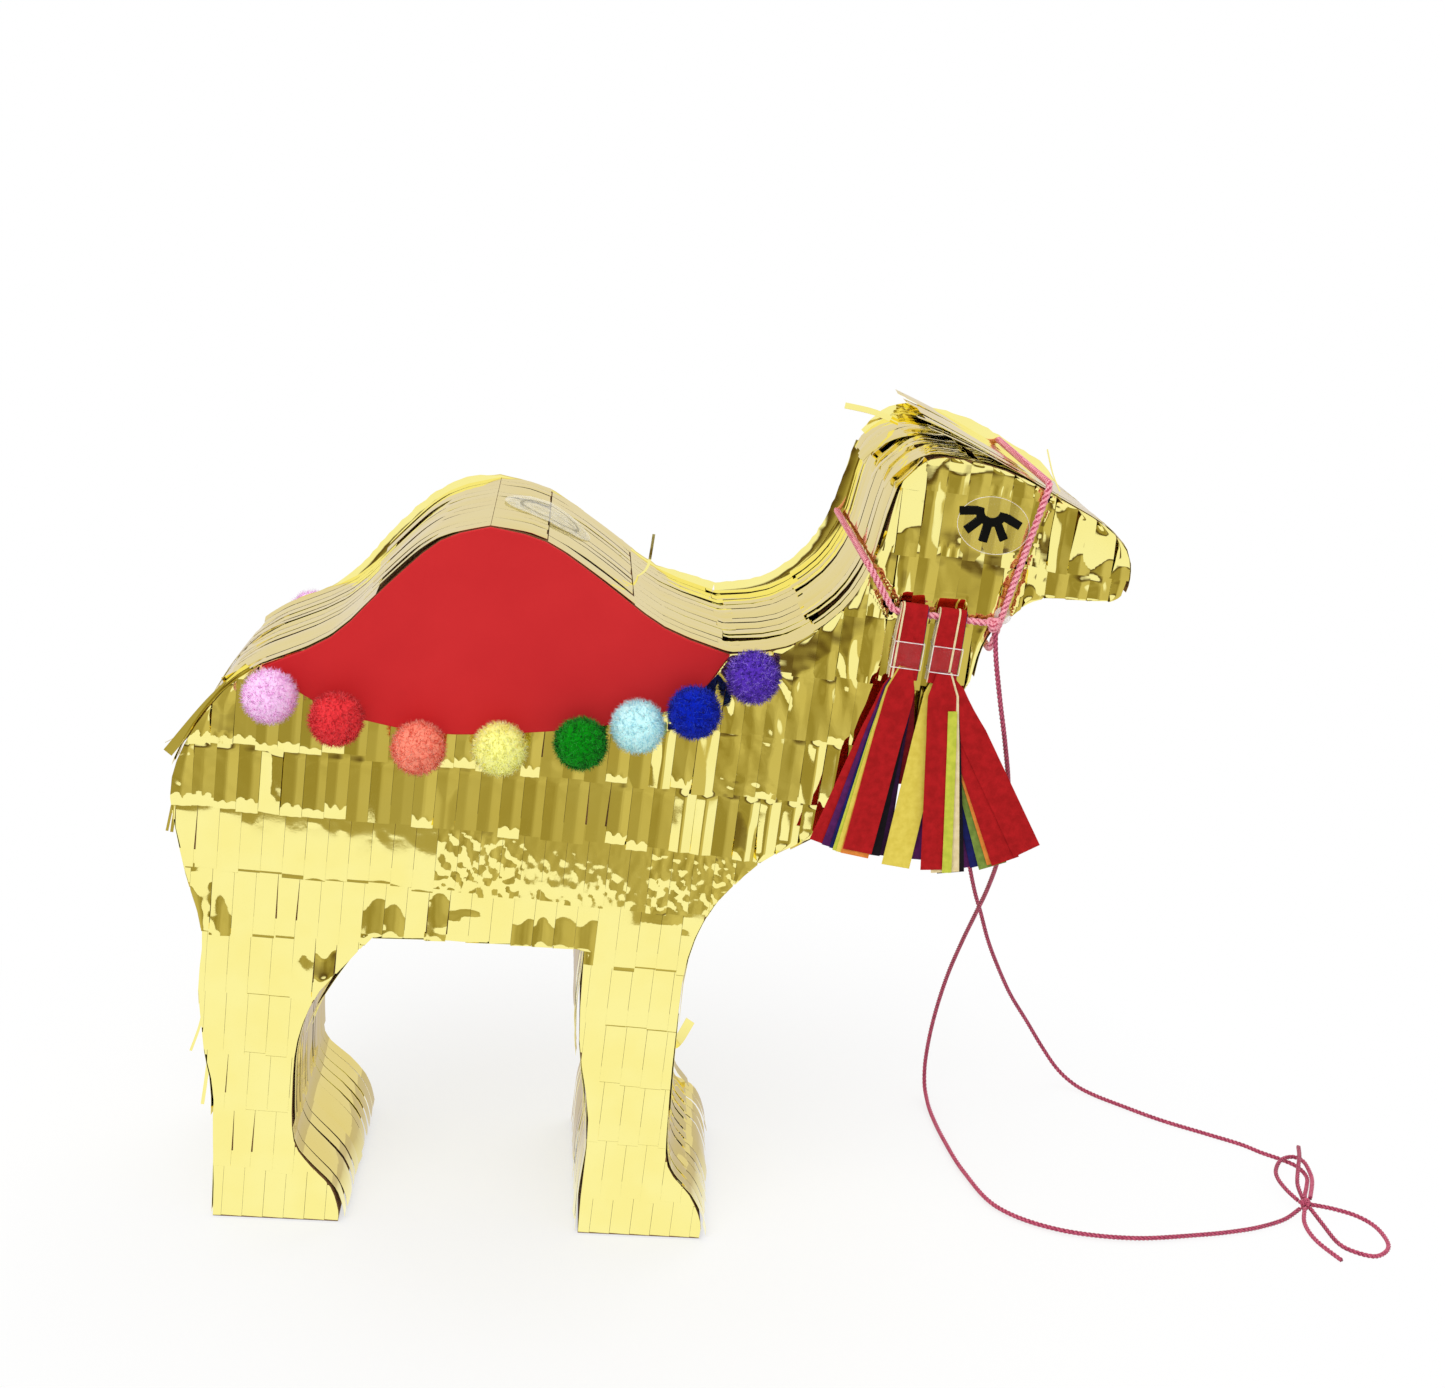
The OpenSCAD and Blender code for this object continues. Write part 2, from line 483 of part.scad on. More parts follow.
// One tissue strip, gathered where the tape holds it
module strip(l) polygon([[-tassel_w / 2, -l], [tassel_w / 2, -l], [tassel_w / 2, -9], [tassel_w / 5, 0], [-tassel_w / 5, 0],
    [-tassel_w / 2, -9]]);
module tassel(at, fan) translate(on_y(cheek + at * cheek_dir, -cheek_y)) rotate([0, cheek_tilt, 0]) {
    rotate([90, 0, 90]) linear_extrude(height = tassel_w, center = true) difference() {
        union() {
            circle(r = hole_r + fold_t, $fn = 48);
            translate([-hole_r - fold_t, fan_z - 5]) square([2 * (hole_r + fold_t), -fan_z + 5]);
        }
        circle(r = hole_r, $fn = 48);
        translate([-hole_r, fan_z - 6]) square([2 * hole_r, -fan_z + 6]);
    }
    for (k = [0 : 6]) translate([0, layer_y(k) + tissue_t, fan_z]) rotate([0, -fan[k] - cheek_tilt, 0]) rotate([90, 0, 0])
        linear_extrude(height = tissue_t) strip(tassel_l + fan_z - 4 * (k % 3));
}
module tape(at) translate(on_y(cheek + at * cheek_dir, -cheek_y)) rotate([0, cheek_tilt, 0])
    translate([0, 0, -tape_drop - tape_h]) linear_extrude(height = tape_h) difference() {
        x = tassel_w / 2 + 0.4;
        low = layer_y(0) - 0.2;
        high = front_y + tissue_t + 0.2;
        translate([-x - 0.25, low - 0.25]) square([2 * x + 0.5, high - low + 0.5]);
        translate([-x, low]) square([2 * x, high - low]);
    }
rear_at = tassel_w / 2 + 3;
front_at = rear_at + tassel_pitch;
module right_rear_tassel() color("Red") tassel(rear_at, rear_fan);
module right_front_tassel() color("Red") tassel(front_at, front_fan);
module left_rear_tassel() color("Red") mirror([0, 1, 0]) tassel(rear_at, rear_fan);
module left_front_tassel() color("Red") mirror([0, 1, 0]) tassel(front_at, front_fan);
module right_rear_tape() color("White", 0.4) tape(rear_at);
module right_front_tape() color("White", 0.4) tape(front_at);
module left_rear_tape() color("White", 0.4) mirror([0, 1, 0]) tape(rear_at);
module left_front_tape() color("White", 0.4) mirror([0, 1, 0]) tape(front_at);

// Rein: two strands from the knots to the ground, tied in a bow in front
low = 1.3;
bow_c = [361, -3];
right_route = [[147, -61.5, 308], [149, -62, 295], [154, -60, 275], [160, -54, 255], [167, -42, 232], [174, -22, 206],
    [178.5, 4, 178], [181, 27, 154], [181.5, 46, 133], [181, 66, 108], [179.5, 83, 80], [178.5, 96, 50], [178.5, 103, 24],
    [179, 101, 9], [179.5, 91, 3], [180, 76, low], [182, 50, low], [187, 17, low], [198, -16, low], [224, -34, low],
    [260, -39, low], [297, -33, low], [320, -27, low], [334, -21.5, low], [347, -14.5, 1.6], [357.5, -6, 3]];
left_route = [[147, 61.5, 308], [150, 64, 287], [156, 68, 255], [163, 72, 220], [171, 76, 185], [180, 81, 155],
    [189, 88, 129], [195.5, 94, 114], [203, 101, 96], [211.5, 108, 79], [224, 117, 57], [238, 125, 37], [250, 128, 20],
    [260, 126, 8], [269, 119, 2.5], [278, 110, low], [292, 98, low], [310, 84, low], [332, 71, low], [348, 61.5, low],
    [357, 53.5, low], [366, 47, low], [372.5, 40, low], [374, 30, low], [370.5, 20, 1.5], [365.5, 9, 2], [362.5, 0.5, 3]];
big_loop = [[364, -3, 4], [375.5, -4.5, 3], [387, -8, 1.6], [393.5, -17, low], [394.5, -30, low], [391, -39, low],
    [382.5, -45, low], [373, -41.5, low], [367.5, -34, low], [365, -18, 2.2], [362.5, -6.5, 4]];
small_loop = [[358.5, 0.5, 4], [355.5, 10, 4.5], [354.3, 20, 5], [356.5, 29.5, 5], [363, 40, 5], [371, 44.5, 4.6], [375.3, 40.5, 4.5],
    [375, 30, 4.5], [372.5, 19, 4.8], [364, -1, 6.5]];
long_tail = [[361, 0.5, 5], [362.3, 13, 6.2], [366.6, 25.5, 8], [372, 39, 8], [378.5, 57, 4]];
short_tail = [[360, -6, 3.5], [356, -18, 1.8], [356.8, -33, low], [363.5, -50, low]];
module rein_right() color("Pink") cord(spline(right_route, 2), rein_d, 8);
module rein_left() color("Pink") cord(spline(left_route, 2), rein_d, 8);
module rein_knot() color("Pink") translate([bow_c[0], bow_c[1], bow_knot_d / 2 + 0.1]) sphere(d = bow_knot_d, $fn = 32);
module rein_bow() color("Pink") {
    cord(spline(big_loop, 3), rein_d, 8);
    cord(spline(small_loop, 3), rein_d, 8);
    cord(spline(long_tail, 3), rein_d, 8);
    cord(spline(short_tail, 3), rein_d, 8);
}

right_side_panel();
left_side_panel();
rump_strip();
rear_hump_strip();
front_hump_strip();
neck_strip();
crown_strip();
throat_strip();
chest_strip();
front_sole();
fore_leg_strip();
belly_strip();
hind_leg_strip();
rear_sole();
fill_flap();
flap_fringe();
seal_sticker();
rump_fringe();
hump_fringe();
neck_fringe();
crown_fringe();
throat_fringe();
chest_fringe();
belly_fringe();
right_head_fringe();
left_head_fringe();
right_body_fringe();
left_body_fringe();
right_fore_fringe();
left_fore_fringe();
right_hind_fringe();
left_hind_fringe();
right_saddle();
left_saddle();
pompom_pink();
pompom_red();
pompom_coral();
pompom_yellow();
pompom_green();
pompom_sky();
pompom_navy();
pompom_purple();
eye_stickers();
eye_lashes();
noseband();
neck_strap();
halter_knots();
glue_dabs();
right_rear_tassel();
right_front_tassel();
left_rear_tassel();
left_front_tassel();
right_rear_tape();
right_front_tape();
left_rear_tape();
left_front_tape();
rein_right();
rein_left();
rein_knot();
rein_bow();
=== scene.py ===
"""Camel pinata, dressed: gold film fringe, foam saddle, pompoms, cord halter, tassels and rein.

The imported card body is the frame. X runs to the muzzle, Y to the camel's left and Z up from the
ground. Sizes here are in millimetres, and pieces turn to metres when their mesh is made.
"""

import logging
import math
import random
from dataclasses import dataclass, field
from enum import Enum
from typing import ClassVar, Sequence

import bmesh
import bpy
import numpy as np
from mathutils import Matrix, Vector


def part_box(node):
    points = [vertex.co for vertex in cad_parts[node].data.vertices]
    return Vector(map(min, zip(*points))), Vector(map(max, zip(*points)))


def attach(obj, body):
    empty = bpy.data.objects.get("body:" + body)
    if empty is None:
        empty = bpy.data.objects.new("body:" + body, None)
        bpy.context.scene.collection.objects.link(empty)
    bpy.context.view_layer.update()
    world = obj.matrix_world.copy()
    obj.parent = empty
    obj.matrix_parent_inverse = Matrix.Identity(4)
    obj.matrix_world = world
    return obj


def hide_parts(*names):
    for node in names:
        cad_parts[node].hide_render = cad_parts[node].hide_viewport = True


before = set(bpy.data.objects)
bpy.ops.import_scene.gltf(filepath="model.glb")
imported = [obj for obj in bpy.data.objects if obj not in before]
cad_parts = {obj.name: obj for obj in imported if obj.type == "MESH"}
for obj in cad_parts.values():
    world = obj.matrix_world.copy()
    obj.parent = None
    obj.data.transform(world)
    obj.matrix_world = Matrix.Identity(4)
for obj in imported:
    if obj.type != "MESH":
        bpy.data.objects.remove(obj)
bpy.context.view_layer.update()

MM = 0.001
LOG = logging.getLogger("pinata")

# Places on the body's outline, X and Z.
HUMP_TOP = (-72.5, 336)
BACK_DIP = (33.5, 288)


def linear(code: str) -> tuple[float, float, float, float]:
    """Turns an sRGB hex colour into linear light.

    Args:
        code: the colour, as "#RRGGBB".
    Returns:
        Red, green, blue and an alpha of 1.
    """
    parts = [int(code[i:i + 2], 16) / 255 for i in (1, 3, 5)]
    return tuple([p / 12.92 if p <= 0.04045 else ((p + 0.055) / 1.055) ** 2.4 for p in parts] + [1.0])


def add_node(tree: bpy.types.NodeTree, kind: str, links: dict, **settings) -> bpy.types.Node:
    """Adds one shader node with its settings and its links.

    Args:
        tree: the node tree.
        kind: the node's type name, without the ShaderNode that starts it.
        links: input name or number to a value, to the output that feeds it, or to a node whose first output does.
        settings: attributes of the node.
    Returns:
        The new node.
    """
    made = tree.nodes.new("ShaderNode" + kind)
    for key, value in settings.items():
        setattr(made, key, value)
    for key, value in links.items():
        if isinstance(value, bpy.types.Node):
            value = value.outputs[0]
        if isinstance(value, bpy.types.NodeSocket):
            tree.links.new(value, made.inputs[key])
        else:
            made.inputs[key].default_value = value
    return made


def per_metre(size: float) -> float:
    """Texture scale whose pattern repeats about every size millimetres."""
    return 1 / (size * MM)


@dataclass(frozen=True)
class Patches:
    """Soft patches of a finish's two colours, with their size in millimetres.

    Low is the noise value that is all colour, and high the one that is all shade.
    """

    size: float
    detail: float = 2.0
    low: float = 0.35
    high: float = 0.65


@dataclass(frozen=True)
class Grain:
    """Fine bump of a finish, with its size and depth in millimetres."""

    size: float
    detail: float
    depth: float
    strength: float


@dataclass(frozen=True)
class Finish:
    """A finish, whose material is built once: patches of two colours, the shader's values and a bump."""

    patches: ClassVar[Patches]
    values: ClassVar[dict[str, float]] = {}
    grain: ClassVar[Grain | None] = None

    name: str
    colour: str
    shade: str

    def material(self) -> bpy.types.Material:
        """Builds the material on first use.

        Returns:
            The material.
        """
        found = bpy.data.materials.get(self.name)
        if found is None:
            found = bpy.data.materials.new(self.name)
            found.use_nodes = True
            self.dress(found.node_tree, found.node_tree.nodes["Principled BSDF"])
        return found

    def dress(self, tree: bpy.types.NodeTree, shader: bpy.types.Node) -> None:
        """Sets the shader's values and adds the colours and the pattern.

        Args:
            tree: the material's nodes.
            shader: its Principled BSDF.
        """
        place = add_node(tree, "TexCoord", {}).outputs["Object"]
        patch = add_node(tree, "TexNoise", {
            "Vector": place, "Scale": per_metre(self.patches.size), "Detail": self.patches.detail})
        share = add_node(tree, "MapRange", {
            "Value": patch, "From Min": self.patches.low, "From Max": self.patches.high})
        mixed = add_node(tree, "Mix", {0: share, 6: linear(self.colour), 7: linear(self.shade)}, data_type="RGBA")
        tree.links.new(mixed.outputs[2], shader.inputs["Base Color"])
        for key, value in self.values.items():
            shader.inputs[key].default_value = value
        self.pattern(tree, shader, place)

    def pattern(self, tree: bpy.types.NodeTree, shader: bpy.types.Node, place: bpy.types.NodeSocket) -> None:
        """Adds the finish's own pattern, which is its grain if it has one.

        Args:
            tree: the material's nodes.
            shader: its Principled BSDF.
            place: the coordinates.
        """
        if self.grain:
            noise = add_node(tree, "TexNoise", {
                "Vector": place, "Scale": per_metre(self.grain.size), "Detail": self.grain.detail})
            bump = add_node(tree, "Bump", {
                "Height": noise, "Distance": self.grain.depth * MM, "Strength": self.grain.strength})
            tree.links.new(bump.outputs["Normal"], shader.inputs["Normal"])


@dataclass(frozen=True)
class MetallisedFilm(Finish):
    """Polyester film with a gold metal coat, slit and crimped: a mirror that breaks up in soft creases."""

    patches = Patches(22.0)
    values = {"Metallic": 1.0}

    crease: float = 9.0
    crease_depth: float = 0.035
    wrinkle: float = 1.6
    wrinkle_depth: float = 0.003
    roughness: float = 0.03
    handled: float = 0.03

    def pattern(self, tree: bpy.types.NodeTree, shader: bpy.types.Node, place: bpy.types.NodeSocket) -> None:
        """Adds two sizes of crease to the bump, and a little haze where the film was handled.

        Args:
            tree: the material's nodes.
            shader: its Principled BSDF.
            place: the coordinates.
        """
        coarse = add_node(tree, "TexNoise", {
            "Vector": place, "Scale": per_metre(self.crease), "Detail": 1.0, "Roughness": 0.4})
        fine = add_node(tree, "TexNoise", {"Vector": place, "Scale": per_metre(self.wrinkle), "Detail": 2.0})
        deep = add_node(tree, "Bump", {"Height": coarse, "Distance": self.crease_depth * MM, "Strength": 1.0})
        light = add_node(tree, "Bump", {
            "Height": fine, "Distance": self.wrinkle_depth * MM, "Strength": 1.0, "Normal": deep})
        tree.links.new(light.outputs["Normal"], shader.inputs["Normal"])
        haze = add_node(tree, "MapRange", {
            "Value": coarse, "From Min": 0.3, "From Max": 0.7,
            "To Min": self.roughness, "To Max": self.roughness + self.handled})
        tree.links.new(haze.outputs["Result"], shader.inputs["Roughness"])


class FoamSheet(Finish):
    """Cut sheet of closed-cell EVA foam: flat matte colour over a very fine skin of cells.

    The cells are drawn about twice as coarse as real ones, so that they show.
    """

    patches = Patches(38.0)
    values = {"Roughness": 0.82, "IOR": 1.48, "Specular IOR Level": 0.3}
    grain = Grain(0.7, 3.0, 0.06, 0.7)


class AcrylicPile(Finish):
    """Clipped acrylic pompom yarn: a soft matte pile with a pale bloom of fibre ends at its edge."""

    patches = Patches(0.8, 3.0, 0.4, 0.62)
    values = {"Roughness": 0.92, "IOR": 1.5, "Specular IOR Level": 0.12, "Sheen Weight": 0.06, "Sheen Roughness": 0.5}


class TwistedYarn(Finish):
    """Twisted cotton cord: matte strands, with fibres along the twist that are finer than the strands."""

    patches = Patches(1.1, 3.0)
    values = {"Roughness": 0.85, "Sheen Weight": 0.2}
    grain = Grain(0.35, 2.0, 0.08, 0.6)


class TissuePaper(Finish):
    """Dyed tissue paper: thin and matte, with clouds of fibre and soft creases half a strip wide."""

    patches = Patches(3.2, 4.0)
    values = {"Roughness": 0.8, "IOR": 1.45, "Specular IOR Level": 0.2}
    grain = Grain(6.0, 3.0, 0.5, 0.5)


@dataclass(frozen=True)
class KraftCard(Finish):
    """Brown corrugated card: flutes show faintly through a fibrous paper face."""

    patches = Patches(2.2, 5.0)
    values = {"Roughness": 0.88}

    flute: float = 6.5
    flute_depth: float = 0.15
    waves_per_scale: float = 20

    def pattern(self, tree: bpy.types.NodeTree, shader: bpy.types.Node, place: bpy.types.NodeSocket) -> None:
        """Adds the flutes, as a shallow wave in the bump.

        Args:
            tree: the material's nodes.
            shader: its Principled BSDF.
            place: the coordinates.
        """
        flutes = add_node(tree, "TexWave", {
            "Vector": place, "Scale": per_metre(self.flute) / self.waves_per_scale, "Distortion": 0.6})
        faint = add_node(tree, "Bump", {
            "Height": flutes.outputs["Fac"], "Distance": self.flute_depth * MM, "Strength": 0.5})
        tree.links.new(faint.outputs["Normal"], shader.inputs["Normal"])


@dataclass(frozen=True)
class ClearFilm(Finish):
    """Clear polypropylene sticker or tape: seen by its gloss and a slight haze."""

    patches = Patches(5.0)
    values = {"IOR": 1.49}

    alpha: float = 0.2
    roughness: float = 0.12
    bubble: float = 4.0

    def pattern(self, tree: bpy.types.NodeTree, shader: bpy.types.Node, place: bpy.types.NodeSocket) -> None:
        """Makes it mostly see-through, with a haze that varies a little where air is caught under it.

        Args:
            tree: the material's nodes.
            shader: its Principled BSDF.
            place: the coordinates.
        """
        shader.inputs["Roughness"].default_value = self.roughness
        air = add_node(tree, "TexNoise", {"Vector": place, "Scale": per_metre(self.bubble), "Detail": 2.0})
        clear = add_node(tree, "MapRange", {
            "Value": air, "From Min": 0.35, "From Max": 0.7,
            "To Min": self.alpha * 0.7, "To Max": self.alpha * 1.3})
        tree.links.new(clear.outputs["Result"], shader.inputs["Alpha"])


class VinylCut(Finish):
    """Black self-adhesive vinyl, cut with a blade: satin, almost flat black, with a faint orange peel."""

    patches = Patches(6.0)
    values = {"Roughness": 0.5, "IOR": 1.54, "Specular IOR Level": 0.1}
    grain = Grain(1.2, 1.0, 0.02, 0.5)


GOLD_FILM = MetallisedFilm("metallised_film_gold", "#FDF39C", "#FCF094")
RED_FOAM = FoamSheet("foam_sheet_red", "#CA2528", "#C52125")
BLACK_VINYL = VinylCut("vinyl_cut_black", "#040404", "#080808")
KRAFT = KraftCard("corrugated_card_kraft", "#8A6238", "#6F4C2A")
STICKER_FILM = ClearFilm("clear_sticker_film", "#F4F2EA", "#FFFFFF", 0.012)
SEAL_FILM = ClearFilm("hazy_seal_film", "#F4F0DE", "#ECE8D4", 0.36, 0.4)
SEAL_MARK = ClearFilm("hazy_seal_emboss", "#B9B49A", "#A39E84", 0.5, 0.4)
TAPE_FILM = ClearFilm("clear_adhesive_tape", "#F6E9E6", "#FFFFFF", 0.015)
# Pale film along cut edges: a painted highlight where the edges catch the light.
TAPE_EDGE_GLINT = ClearFilm("clear_tape_cut_edge_glint", "#FFF6F0", "#FFFFFF", 0.6, 0.3)
SET_GLUE = ClearFilm("hot_glue_set", "#F3E6DA", "#FFFFFF", 0.45, 0.25)
HALTER_YARN = TwistedYarn("twisted_cotton_rose", "#F8B0BA", "#EC8C9C")
# Groove finishes: darker tones on the faces between the strands, painted shade where the cord shades itself.
HALTER_GROOVE_SHADE = TwistedYarn("twisted_cotton_rose_groove_shade", "#CC5A70", "#B8465E")
REIN_YARN = TwistedYarn("twisted_cotton_crimson", "#D4627E", "#B03C5E")
REIN_GROOVE_SHADE = TwistedYarn("twisted_cotton_crimson_groove", "#98304E", "#80263F")
HALTER_YARNS, REIN_YARNS = (HALTER_YARN, HALTER_GROOVE_SHADE), (REIN_YARN, REIN_GROOVE_SHADE)


class Tissue(Enum):
    """Colours of tissue in a tassel."""

    RED = TissuePaper("tissue_paper_red", "#B0161A", "#9C1013")
    DARK_RED = TissuePaper("tissue_paper_wine", "#8E1A22", "#74121A")
    YELLOW = TissuePaper("tissue_paper_yellow", "#E3CF5A", "#D8C24C")
    LIME = TissuePaper("tissue_paper_lime", "#C9CC48", "#B4BC3C")
    GREEN = TissuePaper("tissue_paper_green", "#7E9440", "#667C34")
    NAVY = TissuePaper("tissue_paper_navy", "#1A1F62", "#14184C")
    PURPLE = TissuePaper("tissue_paper_purple", "#5A1F5E", "#48184E")
    PLUM = TissuePaper("tissue_paper_plum", "#34123C", "#260C2C")
    # Near-black tissue set among the strips where they lie in shadow: painted shadow, not a tissue colour.
    BLACK = TissuePaper("tissue_paper_painted_shadow", "#161016", "#0E0A10")
    ORANGE = TissuePaper("tissue_paper_orange", "#E08A3C", "#D27830")
    CREAM = TissuePaper("tissue_paper_cream", "#EBD9AE", "#DCC894")


class Side(Enum):
    """The camel's sides, by the sign of Y."""

    RIGHT = -1
    LEFT = 1


class Strips:
    """Thin closed strips, gathered into one mesh."""

    def __init__(self) -> None:
        """Starts with no strips."""
        self.points: list[np.ndarray] = []
        self.faces: list[list[int]] = []
        self.slots: list[int] = []
        self.smooth: list[bool] = []
        self.size = 0

    def add(self, grid: np.ndarray, thickness: float, outward: Sequence[float], slot: int = 0) -> None:
        """Adds one strip.

        Args:
            grid: its outer face, rows of points in millimetres.
            thickness: its thickness.
            outward: a direction that the outer face looks towards.
            slot: its material slot.
        """
        grid = np.asarray(grid, float)
        normal = np.cross(np.gradient(grid, axis=1), np.gradient(grid, axis=0))
        if (normal.mean(axis=(0, 1)) * np.asarray(outward, float)).sum() < 0:
            grid, normal = grid[:, ::-1], -normal[:, ::-1]
        normal = normal / (np.linalg.norm(normal, axis=2, keepdims=True) + 1e-12)
        n, m = grid.shape[:2]
        front = np.arange(n * m).reshape(n, m) + self.size
        back = front + n * m
        self.points += [grid.reshape(-1, 3), (grid - thickness * normal).reshape(-1, 3)]
        self.size += 2 * n * m
        quads = [(front[:-1, :-1], front[:-1, 1:], front[1:, 1:], front[1:, :-1]),
                 (back[:-1, :-1], back[1:, :-1], back[1:, 1:], back[:-1, 1:]),
                 (front[:-1, 0], front[1:, 0], back[1:, 0], back[:-1, 0]),
                 (front[1:, -1], front[:-1, -1], back[:-1, -1], back[1:, -1]),
                 (front[0, 1:], front[0, :-1], back[0, :-1], back[0, 1:]),
                 (front[-1, :-1], front[-1, 1:], back[-1, 1:], back[-1, :-1])]
        for k, quad in enumerate(quads):
            faces = np.stack([q.ravel() for q in quad], axis=1).tolist()
            self.faces += faces
            self.smooth += [k < 2] * len(faces)
            self.slots += [slot] * len(faces)

    def piece(self, name: str, finishes: Sequence[Finish], body: str, slot: str,
              nodes: Sequence[str]) -> bpy.types.Object:
        """Makes the gathered strips one piece.

        Args:
            name: the piece's name.
            finishes: its materials, in slot order.
            body: the CAD body it rides on.
            slot: the record's material slot, which is not used.
            nodes: the CAD nodes it stands for.
        Returns:
            The new object.
        """
        return make_piece(name, np.concatenate(self.points), self.faces, finishes, body, nodes,
                          self.slots, self.smooth)


def make_piece(name: str, points: np.ndarray, faces: Sequence[Sequence[int]], finishes: Sequence[Finish],
               body: str, nodes: Sequence[str], slots: Sequence[int] = (),
               smooth: Sequence[bool] = ()) -> bpy.types.Object:
    """Makes a mesh object from points in millimetres and rides it on a body.

    Args:
        name: the piece's name.
        points: its points.
        faces: point numbers of each face.
        finishes: its materials, in slot order.
        body: the CAD body it rides on.
        nodes: the CAD nodes it stands for.
        slots: each face's material slot, all the first if empty.
        smooth: whether each face is smooth, all of them if empty.
    Returns:
        The new object.
    """
    mesh = bpy.data.meshes.new(name)
    mesh.from_pydata((np.asarray(points) * MM).tolist(), [], list(faces))
    for finish in finishes:
        mesh.materials.append(finish.material())
    mesh.polygons.foreach_set("use_smooth", list(smooth) or [True] * len(mesh.polygons))
    if len(smooth):
        mark_sharp(mesh, np.array(smooth, bool))
    if len(slots):
        mesh.polygons.foreach_set("material_index", list(slots))
    made = bpy.data.objects.new(name, mesh)
    bpy.context.scene.collection.objects.link(made)
    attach(made, body)
    if nodes:
        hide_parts(*nodes)
    LOG.info("%s: %d faces, for %s", name, len(mesh.polygons), ", ".join(nodes) or "no node")
    return made


def mark_sharp(mesh: bpy.types.Mesh, smooth: np.ndarray) -> None:
    """Marks the edges of flat faces sharp, so that the smooth faces beside them keep their own normals.

    Args:
        mesh: the mesh.
        smooth: whether each of its faces is smooth.
    """
    edge, size = np.zeros(len(mesh.loops), int), np.zeros(len(mesh.polygons), int)
    mesh.loops.foreach_get("edge_index", edge)
    mesh.polygons.foreach_get("loop_total", size)
    sharp = np.zeros(len(mesh.edges), bool)
    sharp[edge[np.repeat(~smooth, size)]] = True
    mesh.edges.foreach_set("use_edge_sharp", sharp)


def trace_face(node: str) -> np.ndarray:
    """Traces the outline of a flat node's face on the camel's right.

    Args:
        node: a CAD node cut from flat sheet, square to Y.
    Returns:
        The outline's corners in order, X and Z in millimetres.
    """
    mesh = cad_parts[node].data
    low = min(v.co.y for v in mesh.vertices)
    beside: dict[tuple, set] = {}
    for face in mesh.polygons:
        if abs(face.normal.y) > 0.5:
            continue
        ring = [mesh.vertices[i].co for i in face.vertices]
        for a, b in zip(ring, ring[1:] + ring[:1]):
            if abs(a.y - low) < 1e-5 and abs(b.y - low) < 1e-5:
                ka, kb = [(round(p.x / MM, 3), round(p.z / MM, 3)) for p in (a, b)]
                if ka != kb:
                    beside.setdefault(ka, set()).add(kb)
                    beside.setdefault(kb, set()).add(ka)
    start = min(beside)
    ring, last = [start], None
    while True:
        ahead = [k for k in sorted(beside[ring[-1]]) if k != last]
        last = ring[-1]
        if ahead[0] == start and len(ring) > 2 or len(ring) > len(beside):
            break
        ring.append(ahead[0])
    return np.array(ring)


def inside(ring: np.ndarray, x: np.ndarray, z: np.ndarray) -> np.ndarray:
    """Says which points lie inside a closed outline.

    Args:
        ring: the outline's corners.
        x: the points' X.
        z: the points' Z.
    Returns:
        True for each point inside.
    """
    hit = np.zeros(np.shape(x), bool)
    for (ax, az), (bx, bz) in zip(ring, np.roll(ring, -1, axis=0)):
        crosses = (az > z) != (bz > z)
        with np.errstate(divide="ignore", invalid="ignore"):
            at = ax + (z - az) * (bx - ax) / (bz - az)
        hit ^= crosses & (x < at)
    return hit


